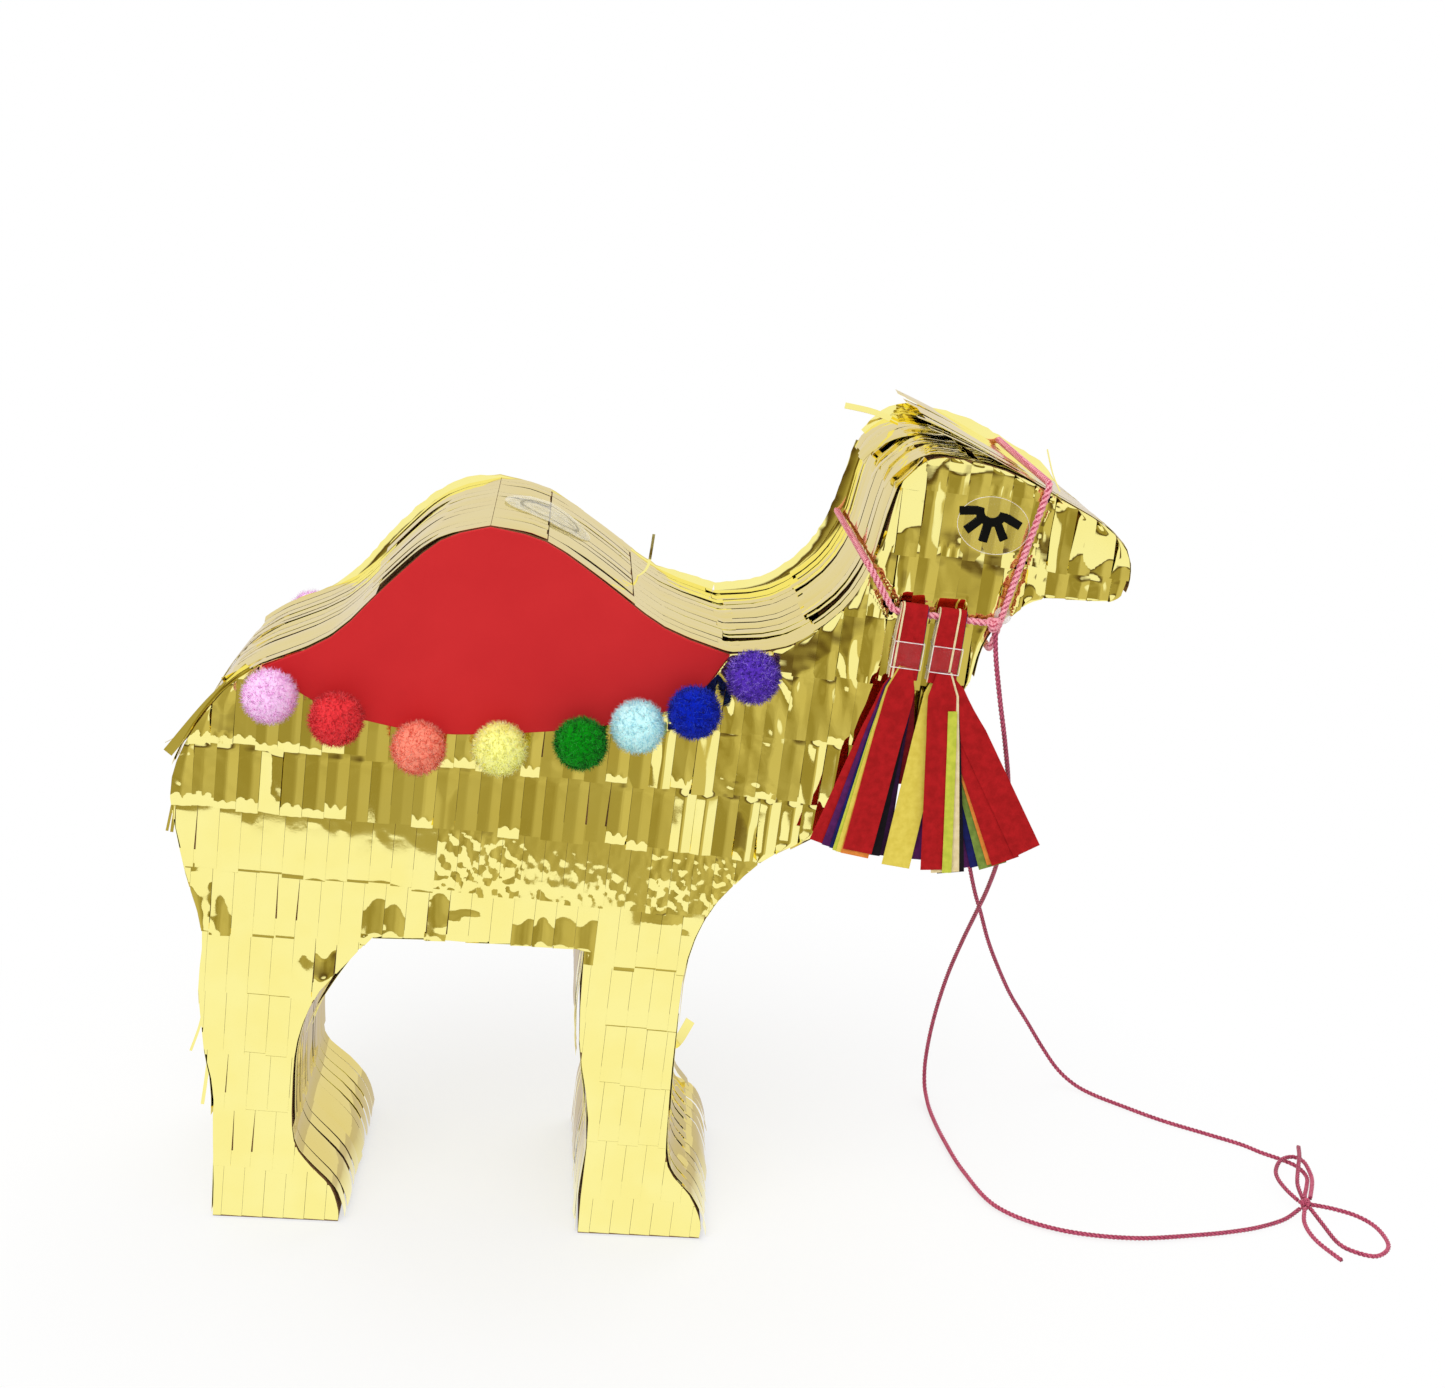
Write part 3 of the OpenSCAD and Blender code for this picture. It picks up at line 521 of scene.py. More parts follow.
class Outline:
    """The card body's outline, clockwise from the rear heel as seen from the camel's right."""

    def __init__(self) -> None:
        """Traces the side panel."""
        ring = trace_face("right_side_panel")
        heel = int(np.argmin(np.hypot(ring[:, 0] + 181, ring[:, 1])))
        ring = np.roll(ring, -heel, axis=0)
        if ring[1, 1] < ring[-1, 1]:
            ring = np.roll(ring[::-1], 1, axis=0)
        self.ring = ring
        self.closed = np.concatenate([ring, ring[:1]])
        steps = np.diff(self.closed, axis=0)
        sizes = np.hypot(steps[:, 0], steps[:, 1])
        self.along = np.concatenate([[0], np.cumsum(sizes)])
        unit = steps / sizes[:, None]
        self.normals = np.stack([-unit[:, 1], unit[:, 0]], axis=1)

    def locate(self, x: float, z: float) -> float:
        """Distance along the outline of its corner nearest to a place."""
        return float(self.along[int(np.argmin(np.hypot(self.ring[:, 0] - x, self.ring[:, 1] - z)))])

    def place(self, s: np.ndarray) -> np.ndarray:
        """Places on the outline at distances along it."""
        return np.stack([np.interp(s, self.along, self.closed[:, k]) for k in (0, 1)], axis=-1)

    def facing(self, s: np.ndarray, low: float, high: float, reach: float = 4.0) -> np.ndarray:
        """Smoothed outward normals.

        Args:
            s: distances along the outline.
            low: start of the run that they belong to.
            high: end of the run.
            reach: distance either way that is averaged.
        Returns:
            A unit normal for each distance.
        """
        total = 0
        for shift in np.linspace(-reach, reach, 5):
            at = np.clip(s + shift, low + 0.01, high - 0.01)
            edge = np.searchsorted(self.along, at, side="right") - 1
            total = total + self.normals[np.clip(edge, 0, len(self.normals) - 1)]
        return total / np.linalg.norm(total, axis=-1, keepdims=True)

    def apart(self, p: np.ndarray, edges: np.ndarray) -> tuple[np.ndarray, np.ndarray]:
        """Distances of places from some of the outline's edges.

        Args:
            p: the places, X and Z.
            edges: numbers of the edges.
        Returns:
            Each place's distance from the nearest of them, and that edge's number.
        """
        a, way = self.closed[edges], self.closed[edges + 1] - self.closed[edges]
        t = np.clip(((p[:, None] - a) * way).sum(-1) / (way ** 2).sum(-1), 0, 1)
        gap = p[:, None] - (a + t[..., None] * way)
        size = np.hypot(gap[..., 0], gap[..., 1])
        near = size.argmin(axis=1)
        return size[np.arange(len(p)), near], edges[near]

    def clearance(self, p: np.ndarray) -> tuple[np.ndarray, np.ndarray]:
        """How far places stand off the body.

        Args:
            p: the places, X and Z.
        Returns:
            Distances, negative inside the body, and the outward normal of the nearest edge.
        """
        size, edge = self.apart(p, np.arange(len(self.ring)))
        return np.where(inside(self.ring, p[:, 0], p[:, 1]), -size, size), self.normals[edge]


class Hang(Enum):
    """Which way a run's fringe hangs, along the outline or against it."""

    AHEAD = 1
    BACK = -1


@dataclass
class EdgeRun:
    """A run of fringe rows round the edge of the body.

    Each row has a stiffness, 0 to lie on the body and 1 to go straight. The last row hangs past the run's
    end. Lift is how far the tabs belly out at the far edge, and near is the near edge's share of it. Droop
    is how much limp tabs turn down. Parted is the share of slits that stand open.
    """

    node: str
    start: tuple[float, float]
    end: tuple[float, float]
    hang: Hang
    stiff: tuple[float, ...] = (0.6,)
    past: float = 0.0
    lift: float = 0.0
    droop: float = 0.03
    near: float = 1.0
    parted: float = 0.2


@dataclass
class Row:
    """One row of a run, from low to high along the outline, with its edges across in Y.

    Limit is the most that a tab may stand off the card. The other values are as in the run.
    """

    low: float
    high: float
    hang: Hang
    stiff: float
    across: tuple[float, float]
    tabs: int
    limit: float = 99.0
    lift: float = 0.0
    droop: float = 0.03
    near: float = 1.0
    parted: float = 0.2


@dataclass
class Lip:
    """Film that stands up past the far edge of the body: places along the edge, each with the film's height."""

    node: str
    places: list[tuple[float, float, float]]


@dataclass
class Wisp:
    """A stray end of film that stands off the fringe: its route, width and film face."""

    node: str
    route: list[tuple[float, float, float]]
    width: float
    across: tuple[float, float, float] = (0.0, 1.0, 0.0)


@dataclass
class EdgeFringe:
    """Rows of film fringe that wrap the card strips between the two sides."""

    outline: Outline
    width: float = 111.0
    tabs: int = 12
    slit: float = 0.25
    header: float = 8.0
    pitch: float = 62.0
    overlap: float = 6.0
    film: float = 0.12
    step: float = 3.0
    root_gap: float = 0.3
    end_gap: float = 0.5
    foot_gap: float = 0.8
    flap_from_top: float = 25.0
    flap_length: float = 46.0
    flap_width: float = 86.0
    flap_gap: float = 0.5
    hinge_gap: float = 0.2
    flap_foot: float = 0.8
    runs: list[EdgeRun] = field(default_factory=lambda: [
        EdgeRun("rump_fringe", (-181, 0), (-165.5, 268), Hang.BACK, (0.25, 0.0), 0, 0, 0.0),
        EdgeRun("hump_fringe", (-165.5, 268), HUMP_TOP, Hang.BACK, (0.6, 0.72), 20),
        EdgeRun("neck_fringe", BACK_DIP, (110, 378.5), Hang.BACK, (0.0, 0.5, 0.8), 5),
        EdgeRun("crown_fringe", (100.5, 369), (169, 367), Hang.BACK, (0.2, 0.6), 12, 0.6),
        EdgeRun("crown_fringe", (169, 367), (184, 359.9), Hang.BACK, (1.0,), 66, 0.4),
        EdgeRun("crown_fringe", (184, 359.9), (200.5, 327.5), Hang.AHEAD, (0.0,)),
        EdgeRun("throat_fringe", (195.5, 324.5), (140, 283.5), Hang.AHEAD, (0.3,)),
        EdgeRun("chest_fringe", (140, 283.5), (26, 60), Hang.AHEAD, (0.3, 0.05, 0.05, 0.2), 4),
        EdgeRun("chest_fringe", (26, 64), (46, 0), Hang.AHEAD, (0.3,), 0, 6.5, 0.03, 0.08, 0.5),
        EdgeRun("belly_fringe", (-11.5, 0), (-19, 146), Hang.BACK, (0.4,), 0, 2.6, 0.03, 0.3, 0.6),
        EdgeRun("belly_fringe", (-19, 146), (-114, 146), Hang.AHEAD, (0.0,)),
        EdgeRun("belly_fringe", (-114, 146), (-145, 50), Hang.AHEAD, (0.8,), 4, 0, 0.3, 1.0, 0.5),
        EdgeRun("belly_fringe", (-145, 50), (-123.5, 0), Hang.AHEAD, (0.3,), 0, 3.8, 0.03, 0.15, 0.5)])
    lips: list[Lip] = field(default_factory=lambda: [
        Lip("rump_fringe", [(-197, 230, 0.3), (-186, 249, 0.5), (-175, 260, 0.9), (-165.5, 268, 1.2)]),
        Lip("hump_fringe", [(-165.5, 268, 1.2), (-150, 275, 1.2), (-135, 285, 3.4), (-120, 301, 5.0),
                            (-105, 317, 5.4), (-85, 332, 3.4), (*HUMP_TOP, 1.0), (-50, 331, 0.3),
                            (-20, 314, 0.3), (4.5, 297.5, 1.2), (20, 291, 3.5), (*BACK_DIP, 4.5)]),
        Lip("neck_fringe", [(*BACK_DIP, 4.5), (59, 293, 5.5), (75, 304, 6.0), (85, 318, 6.5), (92, 332, 6.5),
                            (97, 355, 5.5), (100.5, 369, 5.5)]),
        Lip("crown_fringe", [(100.5, 369, 5.5), (110, 378.5, 6.4), (120.5, 381, 6.0), (145, 377, 5.6),
                             (165, 369, 5.0), (184, 359.9, 4.2), (192, 354, 0.5)])])
    wisps: list[Wisp] = field(default_factory=lambda: [
        Wisp("rump_fringe", [(-172, -50, 265), (-188, -51, 248), (-205.4, -53, 224.5)], 4.4, (0.77, 0.06, -0.63)),
        Wisp("rump_fringe", [(-184, -44, 253), (-194, -45, 238), (-201.6, -46, 228)], 3.4, (0.8, 0.1, -0.59)),
        Wisp("rump_fringe", [(-186, -48, 248), (-197, -49, 235), (-207, -50, 228)], 0.8),
        Wisp("rump_fringe", [(-202, -46, 215), (-203.5, -46, 203), (-206.3, -47, 186)], 1.2, (0.98, 0.1, -0.15)),
        Wisp("rump_fringe", [(-202, -42, 212), (-203.5, -42, 199), (-205, -43, 184)], 1.4, (0.98, 0.05, -0.1)),
        Wisp("rump_fringe", [(-188, -49, 104), (-190, -49, 93), (-193.6, -50, 81)], 1.2, (0.97, 0.05, -0.25)),
        Wisp("rump_fringe", [(-186, -46, 78), (-187, -46, 66), (-188.5, -46, 52)], 1.6, (0.98, 0.05, -0.1)),
        Wisp("hump_fringe", [(-140, -44, 276.5), (-160, -46, 268.5), (-183, -49, 257)], 4.4, (0.4, 0.12, -0.9)),
        Wisp("hump_fringe", [(-9.6, 6, 303), (-4.5, 8, 305.5), (-1.8, 10, 309), (-0.9, 11, 316), (-0.3, 12, 323.6)],
             1.3, (1.0, 0.04, 0.0)),
        Wisp("hump_fringe", [(-1, 14, 299), (-8, 15, 305), (-15, 16, 312)], 1.2),
        Wisp("hump_fringe", [(-3, 8, 300.5), (-9, 4, 304.5), (-16, 0, 308.5)], 2.2),
        Wisp("chest_fringe", [(30, 54, 43), (36, 54, 47), (42, 54, 60)], 5.5, (0.82, 0.08, -0.56)),
        Wisp("neck_fringe", [(108, 22, 382.6), (96, 22, 386.5), (82.5, 22, 388.4)], 3.2, (0.18, 0.6, 0.77)),
        Wisp("crown_fringe", [(175, -28, 365.5), (170.5, -29, 373), (166.2, -30, 384)], 0.7, (0.9, 0.4, 0.2))])

    def fall(self, row: Row, reach: np.ndarray, firm: np.ndarray) -> tuple[np.ndarray, np.ndarray]:
        """Lets a row's tabs hang from their glued header.

        Each tab goes straight on as far as it is stiff, and rests on the body.

        Args:
            row: the row.
            reach: each tab's length.
            firm: each tab's stiffness.
        Returns:
            Each tab's path in X and Z, and its normals.
        """
        start, sign = row.low if row.hang is Hang.AHEAD else row.high, row.hang.value
        lift = row.lift * np.linspace(row.near, 1, row.tabs)
        limp = 1 - firm[:, None]
        steps = max(8, int(reach.max() / self.step))
        step = reach / (steps - 1)
        path = np.zeros((len(reach), steps, 2))
        for k in range(steps):
            gone = k / (steps - 1)
            glued = k * step[0] <= self.header
            low = self.root_gap + self.end_gap * gone + lift * self.belly(gone)
            if glued:
                at = self.outline.place(np.clip(start + sign * k * step, 0, self.outline.along[-1]))
                normal = self.outline.clearance(at + 1e-6)[1]
                at = at + normal * low[:, None]
            else:
                at = at + way * step[:, None]
                gap, normal = self.outline.clearance(at)
                at = at + normal * (np.clip(gap, low, row.limit) - gap)[:, None]
            flat = sign * np.stack([normal[:, 1], -normal[:, 0]], axis=1)
            way = flat if glued else path_way(path[:, k - 1], at)
            way = firm[:, None] * way + limp * flat - np.array([0, 1]) * (0.003 + row.droop * limp)
            way /= np.linalg.norm(way, axis=1, keepdims=True)
            path[:, k] = at
        along = np.gradient(path, axis=1)
        along /= np.linalg.norm(along, axis=2, keepdims=True)
        return path, sign * np.stack([-along[..., 1], along[..., 0]], axis=-1)

    def belly(self, gone: float | np.ndarray) -> np.ndarray:
        """How far a tab bellies out at a share of its length: flat under the row above, and on the body at its end."""
        return np.clip(3 * gone - 0.4, 0, 1) * (1 - gone ** 3)

    def firmness(self, stiff: float, chance: random.Random) -> float:
        """Stiffness of one tab: most are a little limper than their row, and a few are firmer.

        Args:
            stiff: the row's stiffness.
            chance: random numbers.
        Returns:
            The tab's stiffness.
        """
        if chance.random() < 0.85:
            return stiff * chance.uniform(0.75 + 0.22 * (stiff > 0.9), 1.0)
        return min(1.0, stiff * 1.25)

    def lay(self, pile: Strips, row: Row, chance: random.Random) -> None:
        """Lays one row of tabs.

        Args:
            pile: where the tabs are gathered.
            row: the row.
            chance: the row's random numbers.
        """
        first, last = row.across
        bellied = row.lift >= 1
        cuts = np.linspace(first, last, row.tabs + 1)
        cuts[1:-1] += [chance.uniform(-0.9, 0.9) for _ in range(row.tabs - 1)]
        ragged = 4.0 if row.stiff and not bellied else 0.5
        reach = np.array([row.high - row.low + chance.uniform(-ragged, 0.1 * ragged) for _ in range(row.tabs)])
        firm = np.array([self.firmness(row.stiff, chance) for _ in range(row.tabs)])
        path, normal = self.fall(row, reach, 0 * firm + row.stiff if bellied else firm)
        v = np.linspace(-1, 1, 5)[None]
        share = np.linspace(0, 1, path.shape[1])[:, None]
        parting = np.clip(share * 1.6, 0, 1)
        tilt = row.lift * (1 - row.near) / max(row.tabs - 1, 1) / 2 * self.belly(share)
        for k in range(row.tabs):
            ajar = row.parted if row.parted < 0.3 else row.parted * (1.2 - 1.2 * k / row.tabs)
            open_left, open_right = [
                chance.uniform(0.02, self.slit) if chance.random() > ajar else chance.uniform(0.5, 1.3) for _ in "lr"]
            left = cuts[k] + 0.04 + open_left * parting
            right = cuts[k + 1] - 0.04 - open_right * parting
            half = (right - left) / 2
            twist = half * math.tan(math.radians(chance.gauss(0, 3.0))) * share
            raised = chance.uniform(0, 0.2) * (1 - v ** 2) * share + twist * v + abs(twist) + tilt * v
            raised = np.minimum(raised, max(row.limit - 0.75, 0.1))
            sway = chance.gauss(0, 0.2 if bellied else 0.6) * share ** 2
            y = np.clip((left + right) / 2 + half * v + sway, first - 0.5, last + 0.5)
            x, z = [path[k, :, i:i + 1] + normal[k, :, i:i + 1] * raised for i in (0, 1)]
            middle = normal[k, len(share) // 2]
            pile.add(np.stack([x, y, z], axis=-1), self.film, (middle[0], 0, middle[1]))

    def lip(self, pile: Strips, lip: Lip, chance: random.Random) -> None:
        """Stands a narrow film up past the far edge.

        Args:
            pile: the run's strips.
            lip: where it stands, and how high.
            chance: random numbers.
        """
        knots = [(self.outline.locate(x, z), high) for x, z, high in lip.places]
        s = np.arange(knots[0][0], knots[-1][0], 3.0)
        high = np.interp(s, [k[0] for k in knots], [k[1] for k in knots]) + [chance.uniform(-0.3, 0.3) for _ in s]
        at, way = self.outline.place(s), self.outline.facing(s, knots[0][0], knots[-1][0])
        up = np.array([-0.1, 0.4, 0.75, 1.0])[None]
        x, z = [at[:, k:k + 1] + way[:, k:k + 1] * (0.3 + np.maximum(high, 0.2)[:, None] * up) for k in (0, 1)]
        y = self.width / 2 - 0.9 + 1.3 * up ** 2 + 0 * x
        pile.add(np.stack([x, y, z], axis=-1), self.film, (0, -1, 0.3))

    def build(self) -> None:
        """Builds every run, the rows round the filling flap, the flap's own row, the far lip and the stray ends."""
        across = (-self.width / 2, self.width / 2)
        piles: dict[str, Strips] = {}
        for number, run in enumerate(self.runs):
            chance = random.Random(100 + number)
            low, high = self.outline.locate(*run.start) + 0.05, self.outline.locate(*run.end) - 0.05
            if run.start[1] == 0:
                low += self.foot_gap
            if run.end[1] == 0:
                high -= self.foot_gap
            count = math.ceil((high - low) / self.pitch)
            pitch = (high - low) / count
            pile = piles.setdefault(run.node, Strips())
            for k in range(count):
                last = k == count - 1
                if run.hang is Hang.AHEAD:
                    near = low + k * pitch
                    far = high + run.past if last else low + (k + 1) * pitch + self.overlap
                else:
                    near = low - run.past if last else high - (k + 1) * pitch - self.overlap
                    far = high - k * pitch
                stiff = run.stiff[min(k, len(run.stiff) - 1)]
                self.lay(pile, Row(near, far, run.hang, stiff, across, self.tabs, lift=run.lift, droop=run.droop,
                                   near=run.near, parted=run.parted), chance)
        self.front_of_hump(piles["hump_fringe"])
        for lip in self.lips:
            self.lip(piles[lip.node], lip, random.Random(len(lip.places)))
        for wisp in self.wisps:
            route = spline(wisp.route, 2.5)
            v = np.linspace(-1, 1, 3)[None, :, None] * wisp.width / 2
            grid = route[:, None] + v * np.array(wisp.across)
            piles[wisp.node].add(grid, self.film, np.cross(route[-1] - route[0], wisp.across))
        for node, pile in piles.items():
            pile.piece("film_" + node, [GOLD_FILM], "camel", "foil", [node])

    def front_of_hump(self, pile: Strips) -> None:
        """Builds the rows before, beside and after the flap, and the flap's own row.

        Args:
            pile: the hump's strips.
        """
        chance = random.Random(77)
        half, edge = self.width / 2, self.flap_width / 2
        top, dip = self.outline.locate(*HUMP_TOP), self.outline.locate(*BACK_DIP)
        free = top + self.flap_from_top
        hinge = free + self.flap_length
        whole = (-half, half)
        before = Row(top + 0.05, free - self.flap_gap, Hang.AHEAD, 0.0, whole, self.tabs, 1.0, 0.6, near=0.2)
        self.lay(pile, before, chance)
        border = (self.width - self.flap_width) / 2 - self.flap_gap
        for low in (-half, half - border):
            self.lay(pile, Row(free, hinge, Hang.AHEAD, 0.0, (low, low + border), 1, 1.3), chance)
        self.lay(pile, Row(hinge + self.hinge_gap, dip + self.overlap, Hang.AHEAD, 0.3, whole, self.tabs), chance)
        flap = Strips()
        cover = Row(free, hinge - self.flap_foot, Hang.AHEAD, 0.0, (-edge, edge), self.tabs - 3, 1.0, 0.6)
        self.lay(flap, cover, chance)
        flap.piece("film_flap_fringe", [GOLD_FILM], "flap", "foil", ["flap_fringe"])


def path_way(before: np.ndarray, after: np.ndarray) -> np.ndarray:
    """Unit direction from each place to the next."""
    way = after - before
    return way / np.linalg.norm(way, axis=1, keepdims=True)


def ramp(at: float, start: float, width: float) -> float:
    """Rises from 0 at the start to 1 over the width."""
    return min(max((at - start) / width, 0.0), 1.0)


def drift(at: float, seed: int) -> float:
    """Smooth random value along a line, with a new one at each whole number.

    Args:
        at: place on the line.
        seed: seed of the random numbers.
    Returns:
        The value, 0 to 1.
    """
    low = math.floor(at)
    t = (at - low) ** 2 * (3 - 2 * (at - low))
    a, b = [random.Random(seed * 7919 + low + k).random() for k in (0, 1)]
    return a + (b - a) * t


class Crumple:
    """A field of soft crinkles that runs on from tab to tab."""

    def __init__(self, seed: int, waves: int = 10, short: float = 5.0, long: float = 14.0) -> None:
        """Draws the waves.

        Args:
            seed: seed of the random numbers.
            waves: how many waves cross each other.
            short: shortest wave in millimetres.
            long: longest wave.
        """
        chance = random.Random(seed)
        self.waves = [(chance.uniform(short, long), chance.uniform(0, math.pi), chance.uniform(0, 6.28))
                      for _ in range(waves)]

    def at(self, x: np.ndarray, z: np.ndarray) -> np.ndarray:
        """Height of the field.

        Args:
            x: the places' X.
            z: the places' Z.
        Returns:
            The height at each place, about -1 to 1.
        """
        total = 0
        for size, turn, phase in self.waves:
            total = total + np.sin((x * math.cos(turn) + z * math.sin(turn)) * 2 * math.pi / size + phase)
        return total / math.sqrt(len(self.waves))


@dataclass(frozen=True)
class Tab:
    """One tab of a side's row: the row's number, and the tab's top, edges and length in the turned frame."""

    row: int
    top: float
    left: float
    right: float
    reach: float


@dataclass
class SideFringe:
    """Rows of film fringe on one flat side of the body, each hanging over the next.

    Pressed holds outlines with the most that film inside them may stand off, and film that lies wholly inside
    covered is left out. A flare is a tab bent outwards: its place along X, its top and foot in Z and its slope. A
    dent is a push into the film: its middle in X and Z, and its size. Handled stretches of the rough row have a
    middle in X and half a length. Steps are distances down a tab, from its top or up from its end, where it gets
    points. The tabs face smoothed_from a little, a place along X and away from the side. The fold is a mean and
    its spread, other pairs from there on are ranges, and angles are in degrees.
    """

    outline: Outline
    pressed: list[tuple[np.ndarray, float]]
    covered: np.ndarray
    sticker: "EyeSticker"
    side: Side
    half_width: float = 55.5
    crown: float = 381.0
    first_tab: float = -212.5
    row_length: float = 450.0
    row_pitch: float = 29.3
    overlap: float = 9.0
    slope: float = 2.0
    tab_width: float = 9.5
    slit: float = 0.14
    film: float = 0.12
    foot_gap: float = 0.7
    dip_x: float = BACK_DIP[0]
    middle_x: float = -67.0
    body_row: int = 4
    leg_row: int = 9
    last_row: int = 12
    calm_below: float = 205.0
    hem: float = 0.8
    end_curl: float = 0.16
    striped_from: tuple[tuple[int, float], ...] = ((4, -20.0), (5, 0.0))
    rough_row: int = 6
    handled: tuple[tuple[float, float], ...] = ((-68, 20), (26, 24))
    head_from: tuple[float, float] = (60, 290)
    smoothed_from: tuple[float, float] = (-43.9, 831)
    fold: tuple[float, float] = (4.6, 1.0)
    flat_fold: tuple[float, float] = (0.3, 1.2)
    striped_fold: tuple[float, float] = (15, 18)
    twist: float = 1.3
    turned: tuple[float, float] = (12, 18)
    crimp_depth: tuple[float, float] = (0.03, 0.08)
    crimp_width: tuple[float, float] = (1.8, 2.6)
    end_slope: tuple[float, float] = (0.1, 0.24)
    flick: tuple[float, float] = (1.0, 3.0)
    calm_steps: tuple[float, ...] = (0, 4, 8, 12, 16, 20, 24, 28, 32, 36)
    bent_steps: tuple[float, ...] = (0, 4, 7, 8.5, 9.7, 10.9, 12.1, 13.3, 14.6, 16.5, 19.5, 23, 26)
    end_steps: tuple[float, ...] = (9.5, 8, 7, 6.1, 5.2, 4.3, 3.5, 2.7, 1.9, 1.0, 0)
    flares: tuple[tuple[float, float, float, float], ...] = (
        (-188, 164, 150, 0.08), (-178, 157, 141, 0.08), (-113, 161, 147, 0.08), (-104, 158, 147, 0.08),
        (-88, 164, 146, 0.08), (-51, 157, 147, 0.08), (-33, 156, 147, 0.08), (-24, 158, 147, 0.08),
        (-15, 158, 136, 0.08), (-140, 135, 124, 0.09), (-131, 134, 126, 0.09), (95, 367, 342, 0.17),
        (104, 374, 352, 0.17), (180, 363, 343.5, 0.17), (189, 359, 343.5, 0.17), (198, 353, 340.5, 0.17),
        (152, 340, 324, 0.17), (162, 338, 328, 0.17))
    roll_slope: float = 0.12
    roll_width: float = 6.5
    dents: tuple[tuple[float, float, float], ...] = (
        (14, 158, 12), (-168, 28, 5), (-196, 90, 6), (-77, 155, 7), (186, 332, 7))

    def __post_init__(self) -> None:
        """Turns the outline so that the rows run level, and finds the edges that the film rounds over."""
        turn = math.radians(-self.slope)
        self.cos, self.sin = math.cos(turn), math.sin(turn)
        x, z = self.outline.ring[:, 0], self.outline.ring[:, 1]
        across, up = self.outline.normals.T
        sag = self.hem * (((up < -0.5) & (z > 100)) | ((across < -0.3) & (z > 30) & ((x < -150) | (x > 60))))
        x, z = x + self.outline.normals[:, 0] * sag, z + self.outline.normals[:, 1] * sag
        self.level = np.stack([x * self.cos + z * self.sin, -x * self.sin + z * self.cos], axis=1)
        self.upper = np.flatnonzero((self.outline.normals[:, 1] > 0.15) & (x > self.dip_x) & (x < 168) & (z > 200))
        self.crumple = Crumple(21 + self.side.value)

    def spans(self, w: float) -> list[tuple[float, float]]:
        """Stretches of the body along a row's direction.

        Args:
            w: height in the turned frame.
        Returns:
            Start and end of each stretch.
        """
        a, b = self.level, np.roll(self.level, -1, axis=0)
        hit = (a[:, 1] > w) != (b[:, 1] > w)
        at = a[hit, 0] + (w - a[hit, 1]) * (b[hit, 0] - a[hit, 0]) / (b[hit, 1] - a[hit, 1])
        at = np.sort(at)
        return list(zip(at[::2], at[1::2]))

    def cut(self, tab: Tab, down: float) -> tuple[float, float] | None:
        """A tab's edges at one distance down it, cut to the body.

        Args:
            tab: the uncut tab.
            down: distance from its top.
        Returns:
            The edges, or None where the tab is off the body.
        """
        best = None
        for low, high in self.spans(tab.top - down):
            a, b = max(tab.left, low + 0.1), min(tab.right, high - 0.1)
            if b - a > 0.7 and (best is None or b - a > best[1] - best[0]):
                best = (a, b)
        return best

    def steps(self, tab: Tab) -> tuple[list[float], bool]:
        """Finds where a tab gets points.

        Args:
            tab: the uncut tab.
        Returns:
            Distances down it, and whether it lies still.
        """
        middle, reach = (tab.left + tab.right) / 2, tab.reach
        if self.rough(tab.row, middle) > 0.2:
            return list(np.arange(0, reach - 0.8, 1.6)) + [reach], False
        still = self.calm(middle * self.cos - (tab.top - reach / 2) * self.sin, tab.top - reach / 2) == 1.0
        foot = middle - (tab.top - reach) * self.sin
        still = still and not any(abs(foot - flare[0]) < 8 for flare in self.flares)
        downs = [d for d in (self.calm_steps if still else self.bent_steps) if d < reach - 0.4]
        if still:
            return downs + [reach - self.end_curl, reach], True
        return downs + [d for d in reach - np.array(self.end_steps) if d > downs[-1] + 0.4], False

    def trimmed(self, tab: Tab, downs: list[float]) -> list[tuple[float, tuple]]:
        """The longest stretch of a tab that is on the body.

        Args:
            tab: the uncut tab.
            downs: distances down it.
        Returns:
            Distances down the stretch, each with the tab's edges there.
        """
        runs, current = [], []
        for down in downs:
            edges = self.cut(tab, down)
            if edges:
                current.append((down, edges))
            elif current:
                runs.append(current)
                current = []
        if current:
            runs.append(current)
        best = max(runs, key=len, default=[])
        for end, step in ((0, -1), (-1, 1)) if best else ():
            near = best[end][0]
            index = downs.index(near) + step
            if 0 <= index < len(downs):
                good, bad = near, downs[index]
                for _ in range(6):
                    mid = (good + bad) / 2
                    if self.cut(tab, mid):
                        good = mid
                    else:
                        bad = mid
                if abs(good - near) > 0.2:
                    best.insert(0 if end == 0 else len(best), (good, self.cut(tab, good)))
        return best

